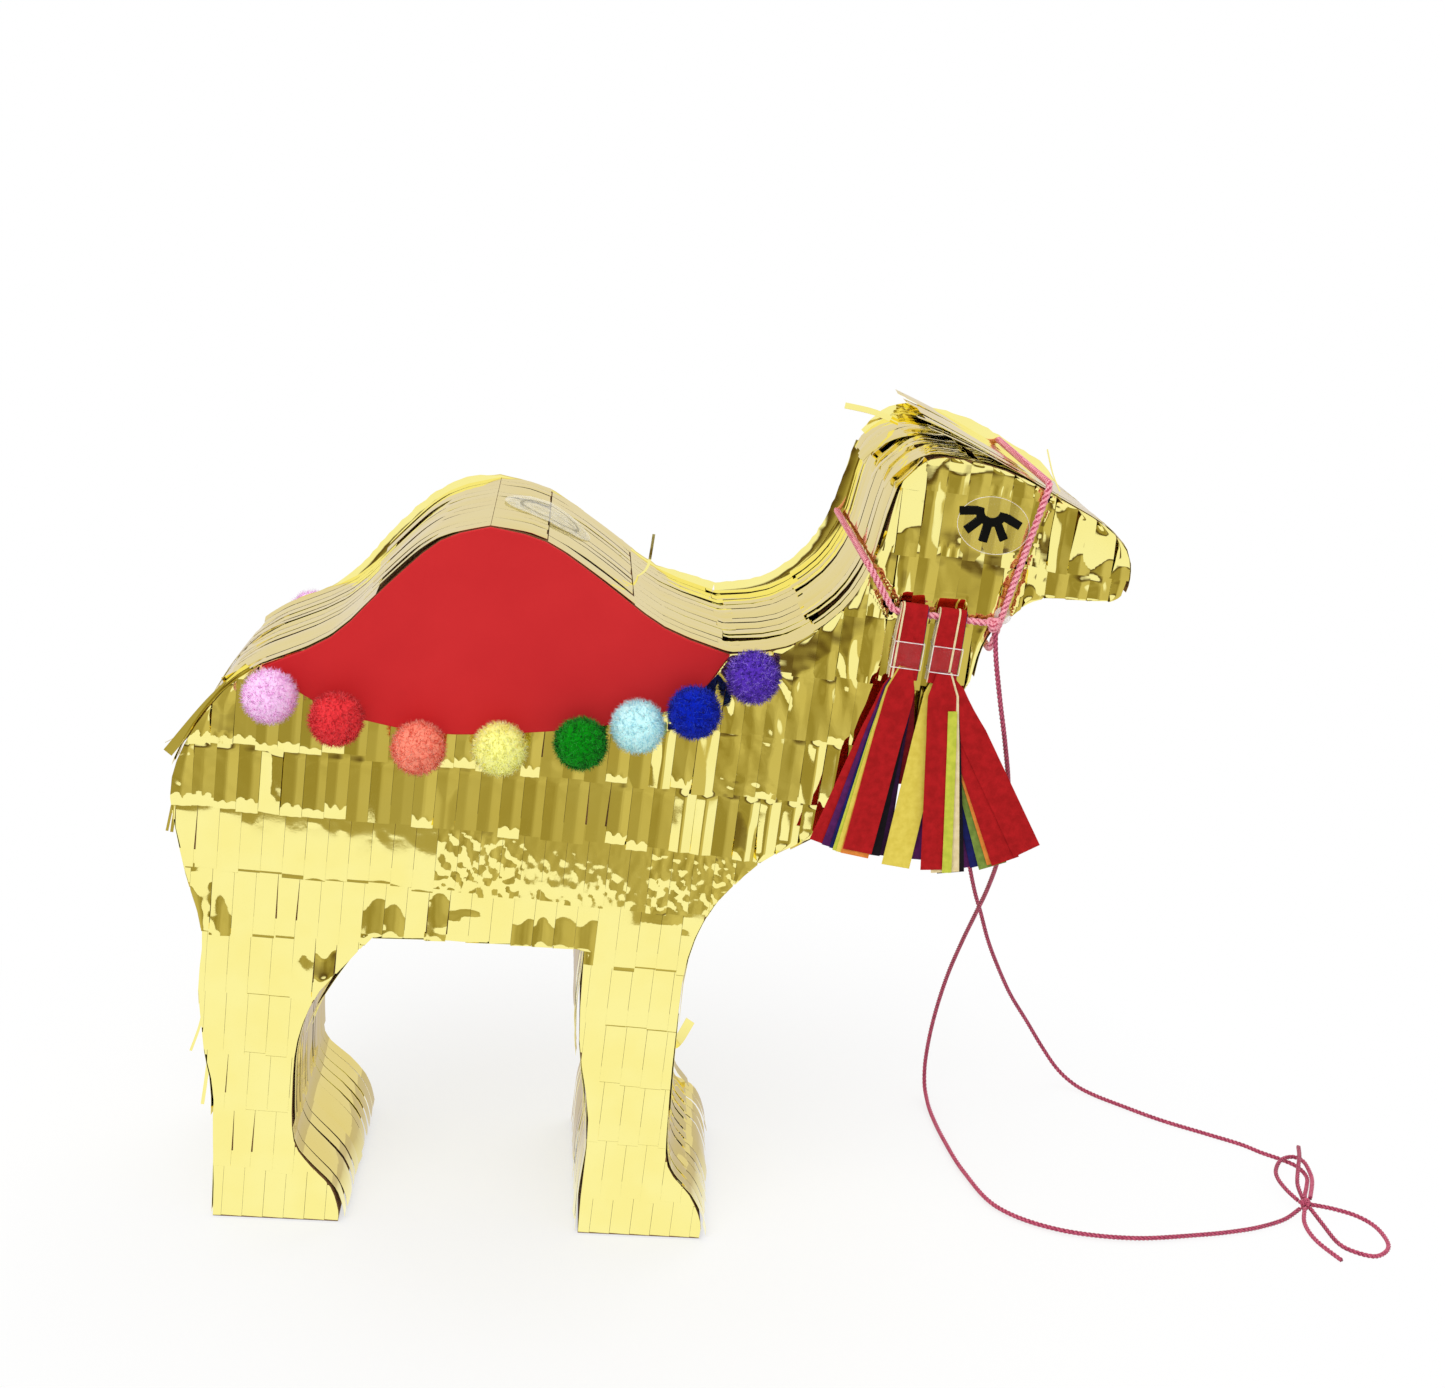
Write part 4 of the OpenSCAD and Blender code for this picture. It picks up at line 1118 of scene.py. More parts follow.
    def grid(self, tab: Tab, chance: random.Random) -> np.ndarray | None:
        """One tab, cut to the body and bent.

        Args:
            tab: the uncut tab.
            chance: random numbers.
        Returns:
            Rows of points, or None if nothing is left of it.
        """
        downs, still = self.steps(tab)
        cuts = [self.cut(tab, d) for d in downs]
        if any(e is None or e[1] - e[0] < tab.right - tab.left - 0.3 for e in cuts):
            downs = sorted(set(downs) | {round(d, 3) for d in np.arange(0.9, tab.reach, 1.3)})
        best = self.trimmed(tab, downs)
        if len(best) < 2 or best[-1][0] - best[0][0] < 2.5:
            return None
        down = np.array([d for d, _ in best])
        edges = np.array([e for _, e in best])
        crease = chance.uniform(-0.12, 0.28)
        v = np.linspace(-1, 1, 5 if still else 11)
        if not still:
            v = np.sort(np.append(v[np.abs(v - crease) > 0.13], [crease - 0.06, crease + 0.06]))
        parting = chance.uniform(0.3, 0.7) if chance.random() < 0.04 else 0.0
        narrow = parting * np.clip((down[:, None] - 8) / 20, 0, 1)
        u = (edges[:, :1] + edges[:, 1:]) / 2 + ((edges[:, 1:] - edges[:, :1]) / 2 - narrow) * v[None]
        w = tab.top - down[:, None] + 0 * v[None]
        x, z = u * self.cos - w * self.sin, u * self.sin + w * self.cos
        return np.stack([x, self.stand_off(tab, down, v, crease, x, z, chance), z], axis=-1)

    def rough(self, k: int, x: float) -> float:
        """How crinkled a tab of row k is, 0 to 1: the row where the body's lower part begins was handled most."""
        near = min(abs(x - middle) - half for middle, half in self.handled)
        return min(max(-near / 6, 0.3 * (-80 < x < 60)), 1.0) if k == self.rough_row else 0.0

    def calm(self, x: float, z: float) -> float:
        """How calmly a tab lies, from 0 on the body's upper rows to 1 below."""
        return ramp(self.calm_below - 0.05 * x - z, 0.0, 25)

    def roll(self, x: np.ndarray, z: np.ndarray) -> np.ndarray:
        """How far the film stands off where it rounds over the top of the neck and head.

        Args:
            x: the points' X.
            z: the points' Z.
        Returns:
            The stand-off of each point.
        """
        if x.max() < self.dip_x - 20:
            return np.zeros(x.shape)
        near = self.outline.apart(np.stack([x.ravel(), z.ravel()], axis=1), self.upper)[0].reshape(x.shape)
        wide = self.roll_width + 7.5 * np.clip((108 - x) / 12, 0, 1)
        wide = wide * (1 + 0.3 * self.crumple.at(x * 0.8, z * 0.25))
        eased = wide - np.log1p(np.exp((wide - near) / 0.8)) * 0.8
        near = self.roll_slope * eased * np.exp(-np.maximum(near - wide, 0) / 22)
        return near * np.clip((self.sticker.spread(x, z) - 1) / 0.8, 0, 1)

    def stand_off(self, tab: Tab, down: np.ndarray, v: np.ndarray, crease: float, x: np.ndarray, z: np.ndarray,
                  chance: random.Random) -> np.ndarray:
        """How far a tab's points stand off the card: its lean, fold, crimp, twist, curled end and crinkles.

        Args:
            tab: the tab.
            down: distances from its top.
            v: places across it, -1 to 1.
            crease: place of the fold across it.
            x: the points' X.
            z: the points' Z.
            chance: random numbers.
        Returns:
            Y of each point.
        """
        k, reach, field_at = tab.row, tab.reach, self.crumple.at
        down, v = down[:, None], v[None]
        share, half = down / reach, self.tab_width / 2
        middle, high = float(x.mean()), float(z.mean())
        calm, rough = self.calm(middle, high), self.rough(k, middle)
        lively = 1 - calm
        on_head = middle > self.head_from[0] and high > self.head_from[1]
        striped = lively * max([ramp(middle, start, 20) for row, start in self.striped_from if row == k], default=0.0)
        crinkle = ramp(drift(middle / 45, 50 + k), 0.45, 0.2) * (0.06 + (0.06 + 0.5 * striped * (middle > 35)) * lively)
        free = np.clip((down - 1.5) / 6, 0, 1) if on_head else np.clip((down - 6) / 5, 0, 1)

        # Fold along the tab, and twist.
        fold = chance.gauss(*self.fold) if chance.random() < 0.85 else chance.uniform(*self.flat_fold)
        fold = fold * (1.9 if on_head else 1.0)
        if chance.random() < 0.75 * striped:
            fold = chance.uniform(*self.striped_fold) + min(max((20 - middle) / 12, 0.0), 3.0)
        if chance.random() < 0.96 - 0.06 * striped:
            turn = chance.gauss(0, self.twist)
        else:
            turn = chance.choice([-1, 1]) * chance.uniform(*self.turned)
        aside, away = self.smoothed_from
        turn = (turn + math.degrees((middle - aside) / away) * 0.4) * (0.1 + 0.9 * lively)
        tent = math.tan(math.radians(fold)) * half * lively
        twist = math.tan(math.radians(turn)) * half
        height = 0.2 + 0.3 * share + abs(chance.gauss(0, 0.2)) * share * (0.3 + 0.7 * lively)
        height = height + free * (tent * (1 - np.abs(v - crease)) + twist * v + abs(twist))

        # Crimp left by the row above, and the frilled end.
        crimp = 10 + chance.uniform(0, 2.5) + chance.uniform(0.8, 2.6) * (v - crease) ** 2 + chance.gauss(0, 0.7) * v
        deep = chance.uniform(*self.crimp_depth) * lively
        height = height + deep * np.exp(-((down - crimp) / chance.uniform(*self.crimp_width)) ** 2)
        frill = 0.85 if middle < -125 or 80 < middle < 104 else 0.28 if high < 290 else 0.12
        curl = chance.uniform(*self.end_slope) if chance.random() < frill * lively else 0.0
        teeth = np.abs((v * chance.uniform(0.9, 1.2) + chance.random()) % 1.0 - 0.5) * 2
        bend = reach - chance.uniform(2.0, 3.5) - chance.uniform(1.5, 4.5) * (1 - teeth)
        height = height + curl * (5.0 * share - np.maximum(down - bend, 0))

        # Crinkles that run on from tab to tab, and the calm tabs' curled end.
        height = height + 0.24 * crinkle * free * field_at(x, z) + 0.012 * calm * field_at(x * 0.45, z * 0.3)
        ridges = np.abs(field_at(x * 1.6, z * 0.7)) * 1.2 + 0.5 * field_at(x * 2.6, z * 1.6)
        height = height + 0.17 * rough * free * ridges + 0.25 * calm * np.maximum(down - reach + self.end_curl, 0)

        # Flares, stray flicks and dents.
        for place, top, foot, lean in self.flares:
            if abs(middle - place) < half and foot < high < top + self.row_pitch:
                edge = top + 2.5 * np.cos(2.2 * (v - crease * 4)) + 1.5 * field_at(x, z * 0)
                height = height + lean * np.clip(edge - z, 0, top - foot + 2)
                height = height + 0.02 * field_at(x * 0.8, z * 0.8) * (z < edge)
        if chance.random() < 0.02 + 0.02 * lively:
            raised = np.clip((share - 0.5 - 0.12 * np.cos(2 * v - 8 * crease)) / 0.5, 0, 1)
            height = height + chance.uniform(*self.flick) * lively * raised
        for dx, dz, size in self.dents:
            bent = 0.3 * size * field_at(x * 0.6 + dz, z * 0.6)
            apart = ((x - dx + bent) / size) ** 2 + ((z - dz + 0.5 * bent) / size / 0.6) ** 2
            height = height + 0.085 * size * np.exp(-apart * 2)

        # What lies on the film presses it down.
        height = np.maximum(height, 0.18 + 0.25 * share)
        held = np.clip((1.8 - self.sticker.spread(x, z)) / 0.8, 0, 1)
        height = height - 0.45 * (height - 0.25) * held + self.roll(x, z)
        for ring, most in self.pressed:
            height = np.where(inside(ring, x, z), np.minimum(height, most), height)
        return self.side.value * (self.half_width + height)

    def group(self, k: int, x: float) -> str:
        """Finds the CAD node that a tab belongs to.

        Args:
            k: the row's number.
            x: the tab's middle.
        Returns:
            The node's name.
        """
        part = "body"
        if k > self.leg_row:
            part = "fore" if x > self.middle_x else "hind"
        elif k <= self.body_row and x > self.dip_x:
            part = "head"
        return f"{self.side.name.lower()}_{part}_fringe"

    def build(self) -> None:
        """Builds the side's rows."""
        chance = random.Random(11 if self.side is Side.RIGHT else 12)
        piles: dict[str, Strips] = {}
        for k in range(-1, self.last_row + 1):
            z = self.crown - k * self.row_pitch - 1
            aside, top = z * self.sin, z * self.cos
            start = self.first_tab + chance.uniform(-2.5, 2.5)
            for n in range(int(self.row_length / self.tab_width)):
                left = aside + start + n * self.tab_width + self.slit * chance.uniform(0.25, 0.6)
                right = aside + start + (n + 1) * self.tab_width - self.slit * chance.uniform(0.25, 0.6)
                reach = self.row_pitch + self.overlap + chance.uniform(-1.6, 1.0)
                reach = min(reach, top - self.foot_gap + self.sin * right)
                grid = self.grid(Tab(k, top, left, right, reach), chance) if reach > 5 else None
                if grid is None or grid[..., 2].min() < 0.3:
                    continue
                if inside(self.covered, grid[..., 0], grid[..., 2]).all():
                    continue
                node = self.group(k, float(grid[..., 0].mean()))
                piles.setdefault(node, Strips()).add(grid, self.film, (0, self.side.value, 0))
        for node, pile in piles.items():
            pile.piece("film_" + node, [GOLD_FILM], "camel", "foil", [node])


@dataclass
class Saddle:
    """Foam saddle panels on the two sides, with their cut edges eased."""

    thickness: float = 2.0
    ease: float = 0.45

    def build(self) -> None:
        """Builds both panels from the CAD panels' outline."""
        ring = trace_face("right_saddle")
        way = np.roll(ring, -1, axis=0) - np.roll(ring, 1, axis=0)
        normal = np.stack([way[:, 1], -way[:, 0]], axis=1) / np.hypot(way[:, 0], way[:, 1])[:, None]
        if ((ring - ring.mean(axis=0)) * normal).sum() < 0:
            normal = -normal
        levels = [(0.0, self.ease * 0.4), (self.ease * 0.4, 0.0)]
        levels += [(self.thickness - self.ease * (1 - math.sin(a)), self.ease * (1 - math.cos(a)))
                   for a in np.linspace(0, math.pi / 2, 5)]
        count = len(ring)
        k = np.arange(count)
        m = (k + 1) % count
        faces = [k[::-1].tolist(), ((len(levels) - 1) * count + k).tolist()]
        for i in range(len(levels) - 1):
            a, b = i * count, (i + 1) * count
            faces += np.stack([a + k, a + m, b + m, b + k], axis=1).tolist()
        smooth = [False] * 2 + [True] * (len(faces) - 2)
        for side in Side:
            node = f"{side.name.lower()}_saddle"
            low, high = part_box(node)
            inner = (low.y if side is Side.LEFT else high.y) / MM
            points = [(p[0], inner + side.value * out, p[1]) for out, inset in levels for p in ring - normal * inset]
            made = make_piece(f"foam_{node}", np.array(points), faces, [RED_FOAM], "camel", [node],
                              smooth=smooth)
            fix_normals(made)


def fix_normals(made: bpy.types.Object) -> None:
    """Turns a closed mesh's faces outward.

    Args:
        made: the object with the mesh.
    """
    work = bmesh.new()
    work.from_mesh(made.data)
    bmesh.ops.recalc_face_normals(work, faces=work.faces)
    work.to_mesh(made.data)
    work.free()


@dataclass
class Pompom:
    """One colour of pompom, a ball of clipped yarn on each side of the saddle's hem, the left one lower by drop."""

    colour: str
    code: str
    shade: str
    tip: str
    drop: float = 0.0
    diameter: float = 24.0
    fibres: int = 2200
    golden_turn: float = 2.399963
    core_share: float = 0.9
    root_share: float = 0.86
    glue_depth: float = 2.0

    def build(self) -> None:
        """Builds the ball's core and its fibres, on both sides."""
        node = f"pompom_{self.colour}"
        low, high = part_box(node)
        radius = self.diameter / 2
        x, z = (low.x + high.x) / 2 / MM, high.z / MM - radius
        face = high.y / MM
        chance = random.Random(sum(map(ord, self.colour)))
        points: list[tuple] = []
        faces: list[list[int]] = []
        slots: list[int] = []
        for side in Side:
            centre = np.array([x, side.value * (face - radius), z - self.drop * (side is Side.LEFT)])
            glued = face - self.diameter + self.glue_depth
            self.core(points, faces, centre, radius * self.core_share, side, glued, chance)
            slots += [0] * (len(faces) - len(slots))
            for k in range(self.fibres):
                up = 1 - 2 * (k + 0.5) / self.fibres
                turn = k * self.golden_turn + chance.gauss(0, 0.05)
                flat = math.sqrt(max(0.0, 1 - up * up))
                way = np.array([flat * math.cos(turn), up, flat * math.sin(turn)])
                lean = way + np.array([chance.gauss(0, 0.14) for _ in range(3)])
                tip = centre + lean / np.linalg.norm(lean) * radius * chance.uniform(0.96, 1.12)
                if side.value * tip[1] < glued + 0.3:
                    continue
                root = centre + way * radius * self.root_share
                self.fibre(points, faces, root, tip, chance.uniform(0.26, 0.46))
                slots += [chance.choice((0, 1, 1, 2))] * (len(faces) - len(slots))
        piles = [AcrylicPile(f"acrylic_pile_{self.colour}_{part}", code, code)
                 for part, code in (("fibre", self.code), ("shade", self.shade), ("tip", self.tip))]
        made = make_piece(f"yarn_{node}", np.array(points), faces, piles, "camel", [node], slots)
        fix_normals(made)

    def core(self, points: list, faces: list, centre: np.ndarray, radius: float, side: Side, glued: float,
             chance: random.Random) -> None:
        """Adds a lumpy ball, flat where it is glued.

        Args:
            points: the piece's points.
            faces: the piece's faces.
            centre: the ball's centre.
            radius: its radius.
            side: the side of the body it is on.
            glued: distance of its flat face from the middle of the body.
            chance: random numbers.
        """
        rings, sides, base = 16, 28, len(points)
        for i in range(1, rings):
            a = math.pi * i / rings
            for j in range(sides):
                b = 2 * math.pi * j / sides
                r = radius * chance.uniform(0.96, 1.03)
                p = centre + r * np.array([math.sin(a) * math.cos(b), math.cos(a), math.sin(a) * math.sin(b)])
                p[1] = side.value * max(side.value * p[1], glued)
                points.append(tuple(p))
        for pole in (1, -1):
            p = centre + np.array([0, pole * radius, 0])
            p[1] = side.value * max(side.value * p[1], glued)
            points.append(tuple(p))
        top = base + (rings - 1) * sides
        for j in range(sides):
            m = (j + 1) % sides
            faces.append([top, base + m, base + j])
            faces.append([top + 1, base + (rings - 2) * sides + j, base + (rings - 2) * sides + m])
            for i in range(rings - 2):
                a, b = base + i * sides, base + (i + 1) * sides
                faces.append([a + j, a + m, b + m, b + j])

    def fibre(self, points: list, faces: list, root: np.ndarray, tip: np.ndarray, width: float) -> None:
        """Adds one tapered fibre.

        Args:
            points: the piece's points.
            faces: the piece's faces.
            root: its root.
            tip: its tip.
            width: its width at the root.
        """
        way = tip - root
        one = np.cross(way, [0.3, 0.5, 0.8])
        one /= np.linalg.norm(one) + 1e-9
        two = np.cross(way / np.linalg.norm(way), one)
        base = len(points)
        for k in range(3):
            a = 2 * math.pi * k / 3
            points.append(tuple(root + width / 2 * (math.cos(a) * one + math.sin(a) * two)))
        points.append(tuple(tip))
        faces += [[base, base + 1, base + 3], [base + 1, base + 2, base + 3], [base + 2, base, base + 3],
                  [base + 2, base + 1, base]]


def spline(knots: Sequence[Sequence[float]], step: float) -> np.ndarray:
    """Smooth curve through knots.

    Args:
        knots: the points it passes through.
        step: distance between its points, about.
    Returns:
        Points evenly spaced along it.
    """
    k = np.asarray(knots, float)
    pts = []
    for i in range(len(k) - 1):
        a, b, c, d = k[max(i - 1, 0)], k[i], k[i + 1], k[min(i + 2, len(k) - 1)]
        for t in np.linspace(0, 1, 16, endpoint=False):
            curve = 2 * b + (c - a) * t + (2 * a - 5 * b + 4 * c - d) * t * t + (3 * b - a - 3 * c + d) * t ** 3
            pts.append(0.5 * curve)
    pts.append(k[-1])
    return evened(np.array(pts), step)


def evened(route: np.ndarray, step: float) -> np.ndarray:
    """Spaces a route's points evenly.

    Args:
        route: the route.
        step: distance between its new points, about.
    Returns:
        The new points.
    """
    gone = np.concatenate([[0], np.cumsum(np.linalg.norm(np.diff(route, axis=0), axis=1))])
    at = np.linspace(0, gone[-1], max(4, int(gone[-1] / step)))
    return np.stack([np.interp(at, gone, route[:, i]) for i in range(3)], axis=1)


@dataclass
class TwistedCord:
    """A cord of three strands laid together, swept along routes."""

    diameter: float
    lay: float
    sides: int = 15
    step: float = 0.7
    # Angle past which a face lies in a groove between strands and takes the painted groove shade.
    groove: float = 0.66

    def __post_init__(self) -> None:
        """Starts with no length of cord."""
        self.points: list[np.ndarray] = []
        self.faces: list[list[int]] = []
        self.slots: list[int] = []
        self.size = 0

    def sweep(self, route: np.ndarray) -> None:
        """Adds one length of cord.

        Args:
            route: its centreline, evenly spaced.
        """
        n = len(route)
        way = np.gradient(route, axis=0)
        way /= np.linalg.norm(way, axis=1, keepdims=True)
        side = np.cross(way[0], [0.2, 0.3, 0.93] if abs(way[0][2]) < 0.8 else [1, 0.2, 0.1])
        radius = self.diameter / 2
        middle, strand = 0.5 * radius, 0.5 * radius
        gone = 0.0
        around = np.linspace(0, 2 * math.pi, self.sides, endpoint=False)
        groove = []
        for i in range(n):
            side = side - way[i] * (side @ way[i])
            side /= np.linalg.norm(side)
            up = np.cross(way[i], side)
            if i:
                gone += np.linalg.norm(route[i] - route[i - 1])
            off = around - 2 * math.pi * gone / self.lay
            near = (off + math.pi / 3) % (2 * math.pi / 3) - math.pi / 3
            reach = middle * np.cos(near) + np.sqrt(strand ** 2 - (middle * np.sin(near)) ** 2)
            spot = off + math.pi / self.sides
            # Faces in the grooves between strands take the second finish, a painted shade.
            groove.append(np.abs((spot + math.pi / 3) % (2 * math.pi / 3) - math.pi / 3) > self.groove)
            around_it = np.cos(around)[:, None] * side + np.sin(around)[:, None] * up
            self.points.append(route[i] + reach[:, None] * around_it)
        k = np.arange(self.sides)
        m = (k + 1) % self.sides
        for i in range(n - 1):
            a, b = self.size + i * self.sides, self.size + (i + 1) * self.sides
            self.faces += np.stack([a + k, a + m, b + m, b + k], axis=1).tolist()
            self.slots += groove[i].astype(int).tolist()
        self.faces += [(self.size + k[::-1]).tolist(), (self.size + (n - 1) * self.sides + k).tolist()]
        # The end faces take the painted groove shade too.
        self.slots += [1, 1]
        self.size += n * self.sides

    def piece(self, name: str, finishes: Sequence[Finish], nodes: Sequence[str]) -> bpy.types.Object:
        """Makes the lengths one piece on the camel.

        Args:
            name: the piece's name.
            finishes: materials of its strands, and of the painted shade in the grooves between them.
            nodes: the CAD nodes it stands for.
        Returns:
            The new object.
        """
        return make_piece(name, np.concatenate(self.points), self.faces, finishes, "camel", nodes,
                          self.slots)


def knot_route(centre: Sequence[float], size: float, tilt: float, step: float) -> np.ndarray:
    """Centreline of a tight overhand knot.

    Args:
        centre: the knot's middle.
        size: half its width to the centreline.
        tilt: its turn about X in degrees.
        step: distance between points.
    Returns:
        Points along it.
    """
    t = np.linspace(0.25, 2 * math.pi - 0.05, 120)
    x, y, z = np.sin(t) + 2 * np.sin(2 * t), np.cos(t) - 2 * np.cos(2 * t), -np.sin(3 * t) * 1.3
    a = math.radians(tilt)
    flat = np.stack([x, y * math.cos(a) - z * math.sin(a), y * math.sin(a) + z * math.cos(a)], axis=1)
    return evened(np.asarray(centre, float) + flat * size / 3, step)


@dataclass
class Rein:
    """Cord rein: two strands from the halter's knots to the ground, tied in a bow in front."""

    diameter: float = 2.4
    lay: float = 6.5
    low: float = 1.3
    bow: tuple[float, float, float] = (361.0, -3.0, 4.1)
    turns: tuple[tuple[float, float], ...] = ((2.7, 20), (2.0, 100))

    def routes(self) -> dict[str, list[list[float]]]:
        """Places that each length of cord passes through, as in the solids.

        Returns:
            Each length's places, by its name.
        """
        low = self.low
        return {
            "rein_right": [
                [147, -61.5, 308], [149, -62, 295], [154, -60, 275], [160, -54, 255], [167, -42, 232],
                [174, -22, 206], [178.5, 4, 178], [181, 27, 154], [181.5, 46, 133], [181, 66, 108], [179.5, 83, 80],
                [178.5, 96, 50], [178.5, 103, 24], [179, 101, 9], [179.5, 91, 3], [180, 76, low], [182, 50, low],
                [187, 17, low], [198, -16, low], [224, -34, low], [260, -39, low], [297, -33, low], [320, -27, low],
                [334, -21.5, low], [347, -14.5, 1.6], [357.5, -6, 3]],
            "rein_left": [
                [147, 61.5, 308], [150, 64, 287], [156, 68, 255], [163, 72, 220], [171, 76, 185], [180, 81, 155],
                [189, 88, 129], [195.5, 94, 114], [203, 101, 96], [211.5, 108, 79], [224, 117, 57], [238, 125, 37],
                [250, 128, 20], [260, 126, 8], [269, 119, 2.5], [278, 110, low], [292, 98, low], [310, 84, low],
                [332, 71, low], [348, 61.5, low], [357, 53.5, low], [366, 47, low], [372.5, 40, low],
                [374, 30, low], [370.5, 20, 1.5], [365.5, 9, 2], [362.5, 0.5, 3]],
            "big_loop": [
                [364, -3, 4], [375.5, -4.5, 3], [387, -8, 1.6], [393.5, -17, low], [394.5, -30, low],
                [391, -39, low], [382.5, -45, low], [373, -41.5, low], [367.5, -34, low], [365, -18, 2.2],
                [362.5, -6.5, 4]],
            "small_loop": [
                [358.5, 0.5, 4], [355.5, 10, 4.5], [354.3, 20, 5], [356.5, 29.5, 5], [363, 40, 5], [371, 44.5, 4.6],
                [375.3, 40.5, 4.5], [375, 30, 4.5], [372.5, 19, 4.8], [364, -1, 6.5]],
            "long_tail": [
                [361, 0.5, 5], [362.3, 13, 6.2], [366.6, 25.5, 8], [372, 39, 8], [378.5, 57, 4]],
            "short_tail": [
                [360, -6, 3.5], [356, -18, 1.8], [356.8, -33, low], [363.5, -50, low]]}

    def build(self) -> None:
        """Builds the strands, the bow's loops and tails and its knot."""
        knot = TwistedCord(self.diameter, self.lay)
        for size, tilt in self.turns:
            knot.sweep(knot_route(self.bow, size, tilt, knot.step))
        tied = knot.piece("yarn_rein_knot", REIN_YARNS, ["rein_knot"])
        for name, knots in self.routes().items():
            cord = TwistedCord(self.diameter, self.lay)
            route = spline(knots, cord.step)
            cord.sweep(route)
            strand = name.startswith("rein")
            made = cord.piece(f"yarn_{name}", REIN_YARNS, [name if strand else "rein_bow"])


@dataclass
class Halter:
    """Cord halter: a noseband, a strap from knot to knot behind the head, and the knots."""

    diameter: float = 3.2
    lay: float = 8.5
    cord_y: float = 58.8524
    cheek_y: float = 61.2524
    nose: tuple[float, float] = (162.697, 373.598)
    jaw: tuple[float, float] = (146.194, 299.363)
    nape: tuple[float, float] = (88.788, 333.047)
    cheek: tuple[float, float] = (101.5, 314.1)
    knot: tuple[float, float] = (145.863, 311.37)
    knot_reach: float = 3.4
    corner: float = 3.5
    cheek_corner: float = 2.0
    turns: tuple[tuple[float, float], ...] = ((2.5, 75), (2.0, 15))

    def bend(self, a: np.ndarray, p: np.ndarray, b: np.ndarray, cut: float) -> np.ndarray:
        """Rounds a route's corner.

        Args:
            a: the point before the corner.
            p: the corner.
            b: the point after it.
            cut: how far from the corner the rounding starts.
        Returns:
            Points round the corner.
        """
        u = p + cut * (a - p) / np.linalg.norm(a - p)
        v = p + cut * (b - p) / np.linalg.norm(b - p)
        t = np.linspace(0, 1, 7)[:, None]
        return (1 - t) ** 2 * u + 2 * t * (1 - t) * p + t * t * v

    def build(self) -> None:
        """Builds the noseband, the strap and the two knots."""
        corners = (self.jaw, self.nose, self.nape, self.knot, self.cheek)
        jaw, nose, nape, knot, cheek = [np.array([p[0], 0, p[1]]) for p in corners]
        low, high = jaw - [0, self.cord_y, 0], nose - [0, self.cord_y, 0]
        half = np.concatenate([[jaw], self.bend(jaw, low, high, self.corner), self.bend(low, high, nose, self.corner),
                               [nose]])
        band = TwistedCord(self.diameter, self.lay)
        band.sweep(evened(np.concatenate([half, (half * [1, -1, 1])[-2::-1]]), band.step))
        band.piece("yarn_noseband", HALTER_YARNS, ["noseband"])
        knot, cheek, behind = knot - [0, self.cheek_y, 0], cheek - [0, self.cheek_y, 0], nape - [0, self.cord_y, 0]
        start = knot + self.knot_reach * (cheek - knot) / np.linalg.norm(cheek - knot)
        half = np.concatenate([[start], self.bend(knot, cheek, behind, self.cheek_corner),
                               self.bend(cheek, behind, nape, self.corner)])
        strap = TwistedCord(self.diameter, self.lay)
        strap.sweep(evened(np.concatenate([half, (half * [1, -1, 1])[::-1]]), strap.step))
        strap.piece("yarn_neck_strap", HALTER_YARNS, ["neck_strap"])
        tied = TwistedCord(self.diameter * 0.9, self.lay)
        for side in Side:
            centre = (self.knot[0], side.value * self.cheek_y, self.knot[1])
            for size, tilt in self.turns:
                tied.sweep(knot_route(centre, size, tilt, tied.step))
        tied.piece("yarn_halter_knots", HALTER_YARNS, ["halter_knots"])


@dataclass
class TissueStrip:
    """One hanging strip of a tassel.

    Fan is its angle in degrees, and out its distance out from the cord. It starts below the tape at start, ends at
    the share end of the tassel's length, and is shifted along the cord.
    """

    fan: float
    out: float
    tone: Tissue
    width: float = 12.0
    start: float = 0.0
    end: float = 1.0
    shift: float = 0.0


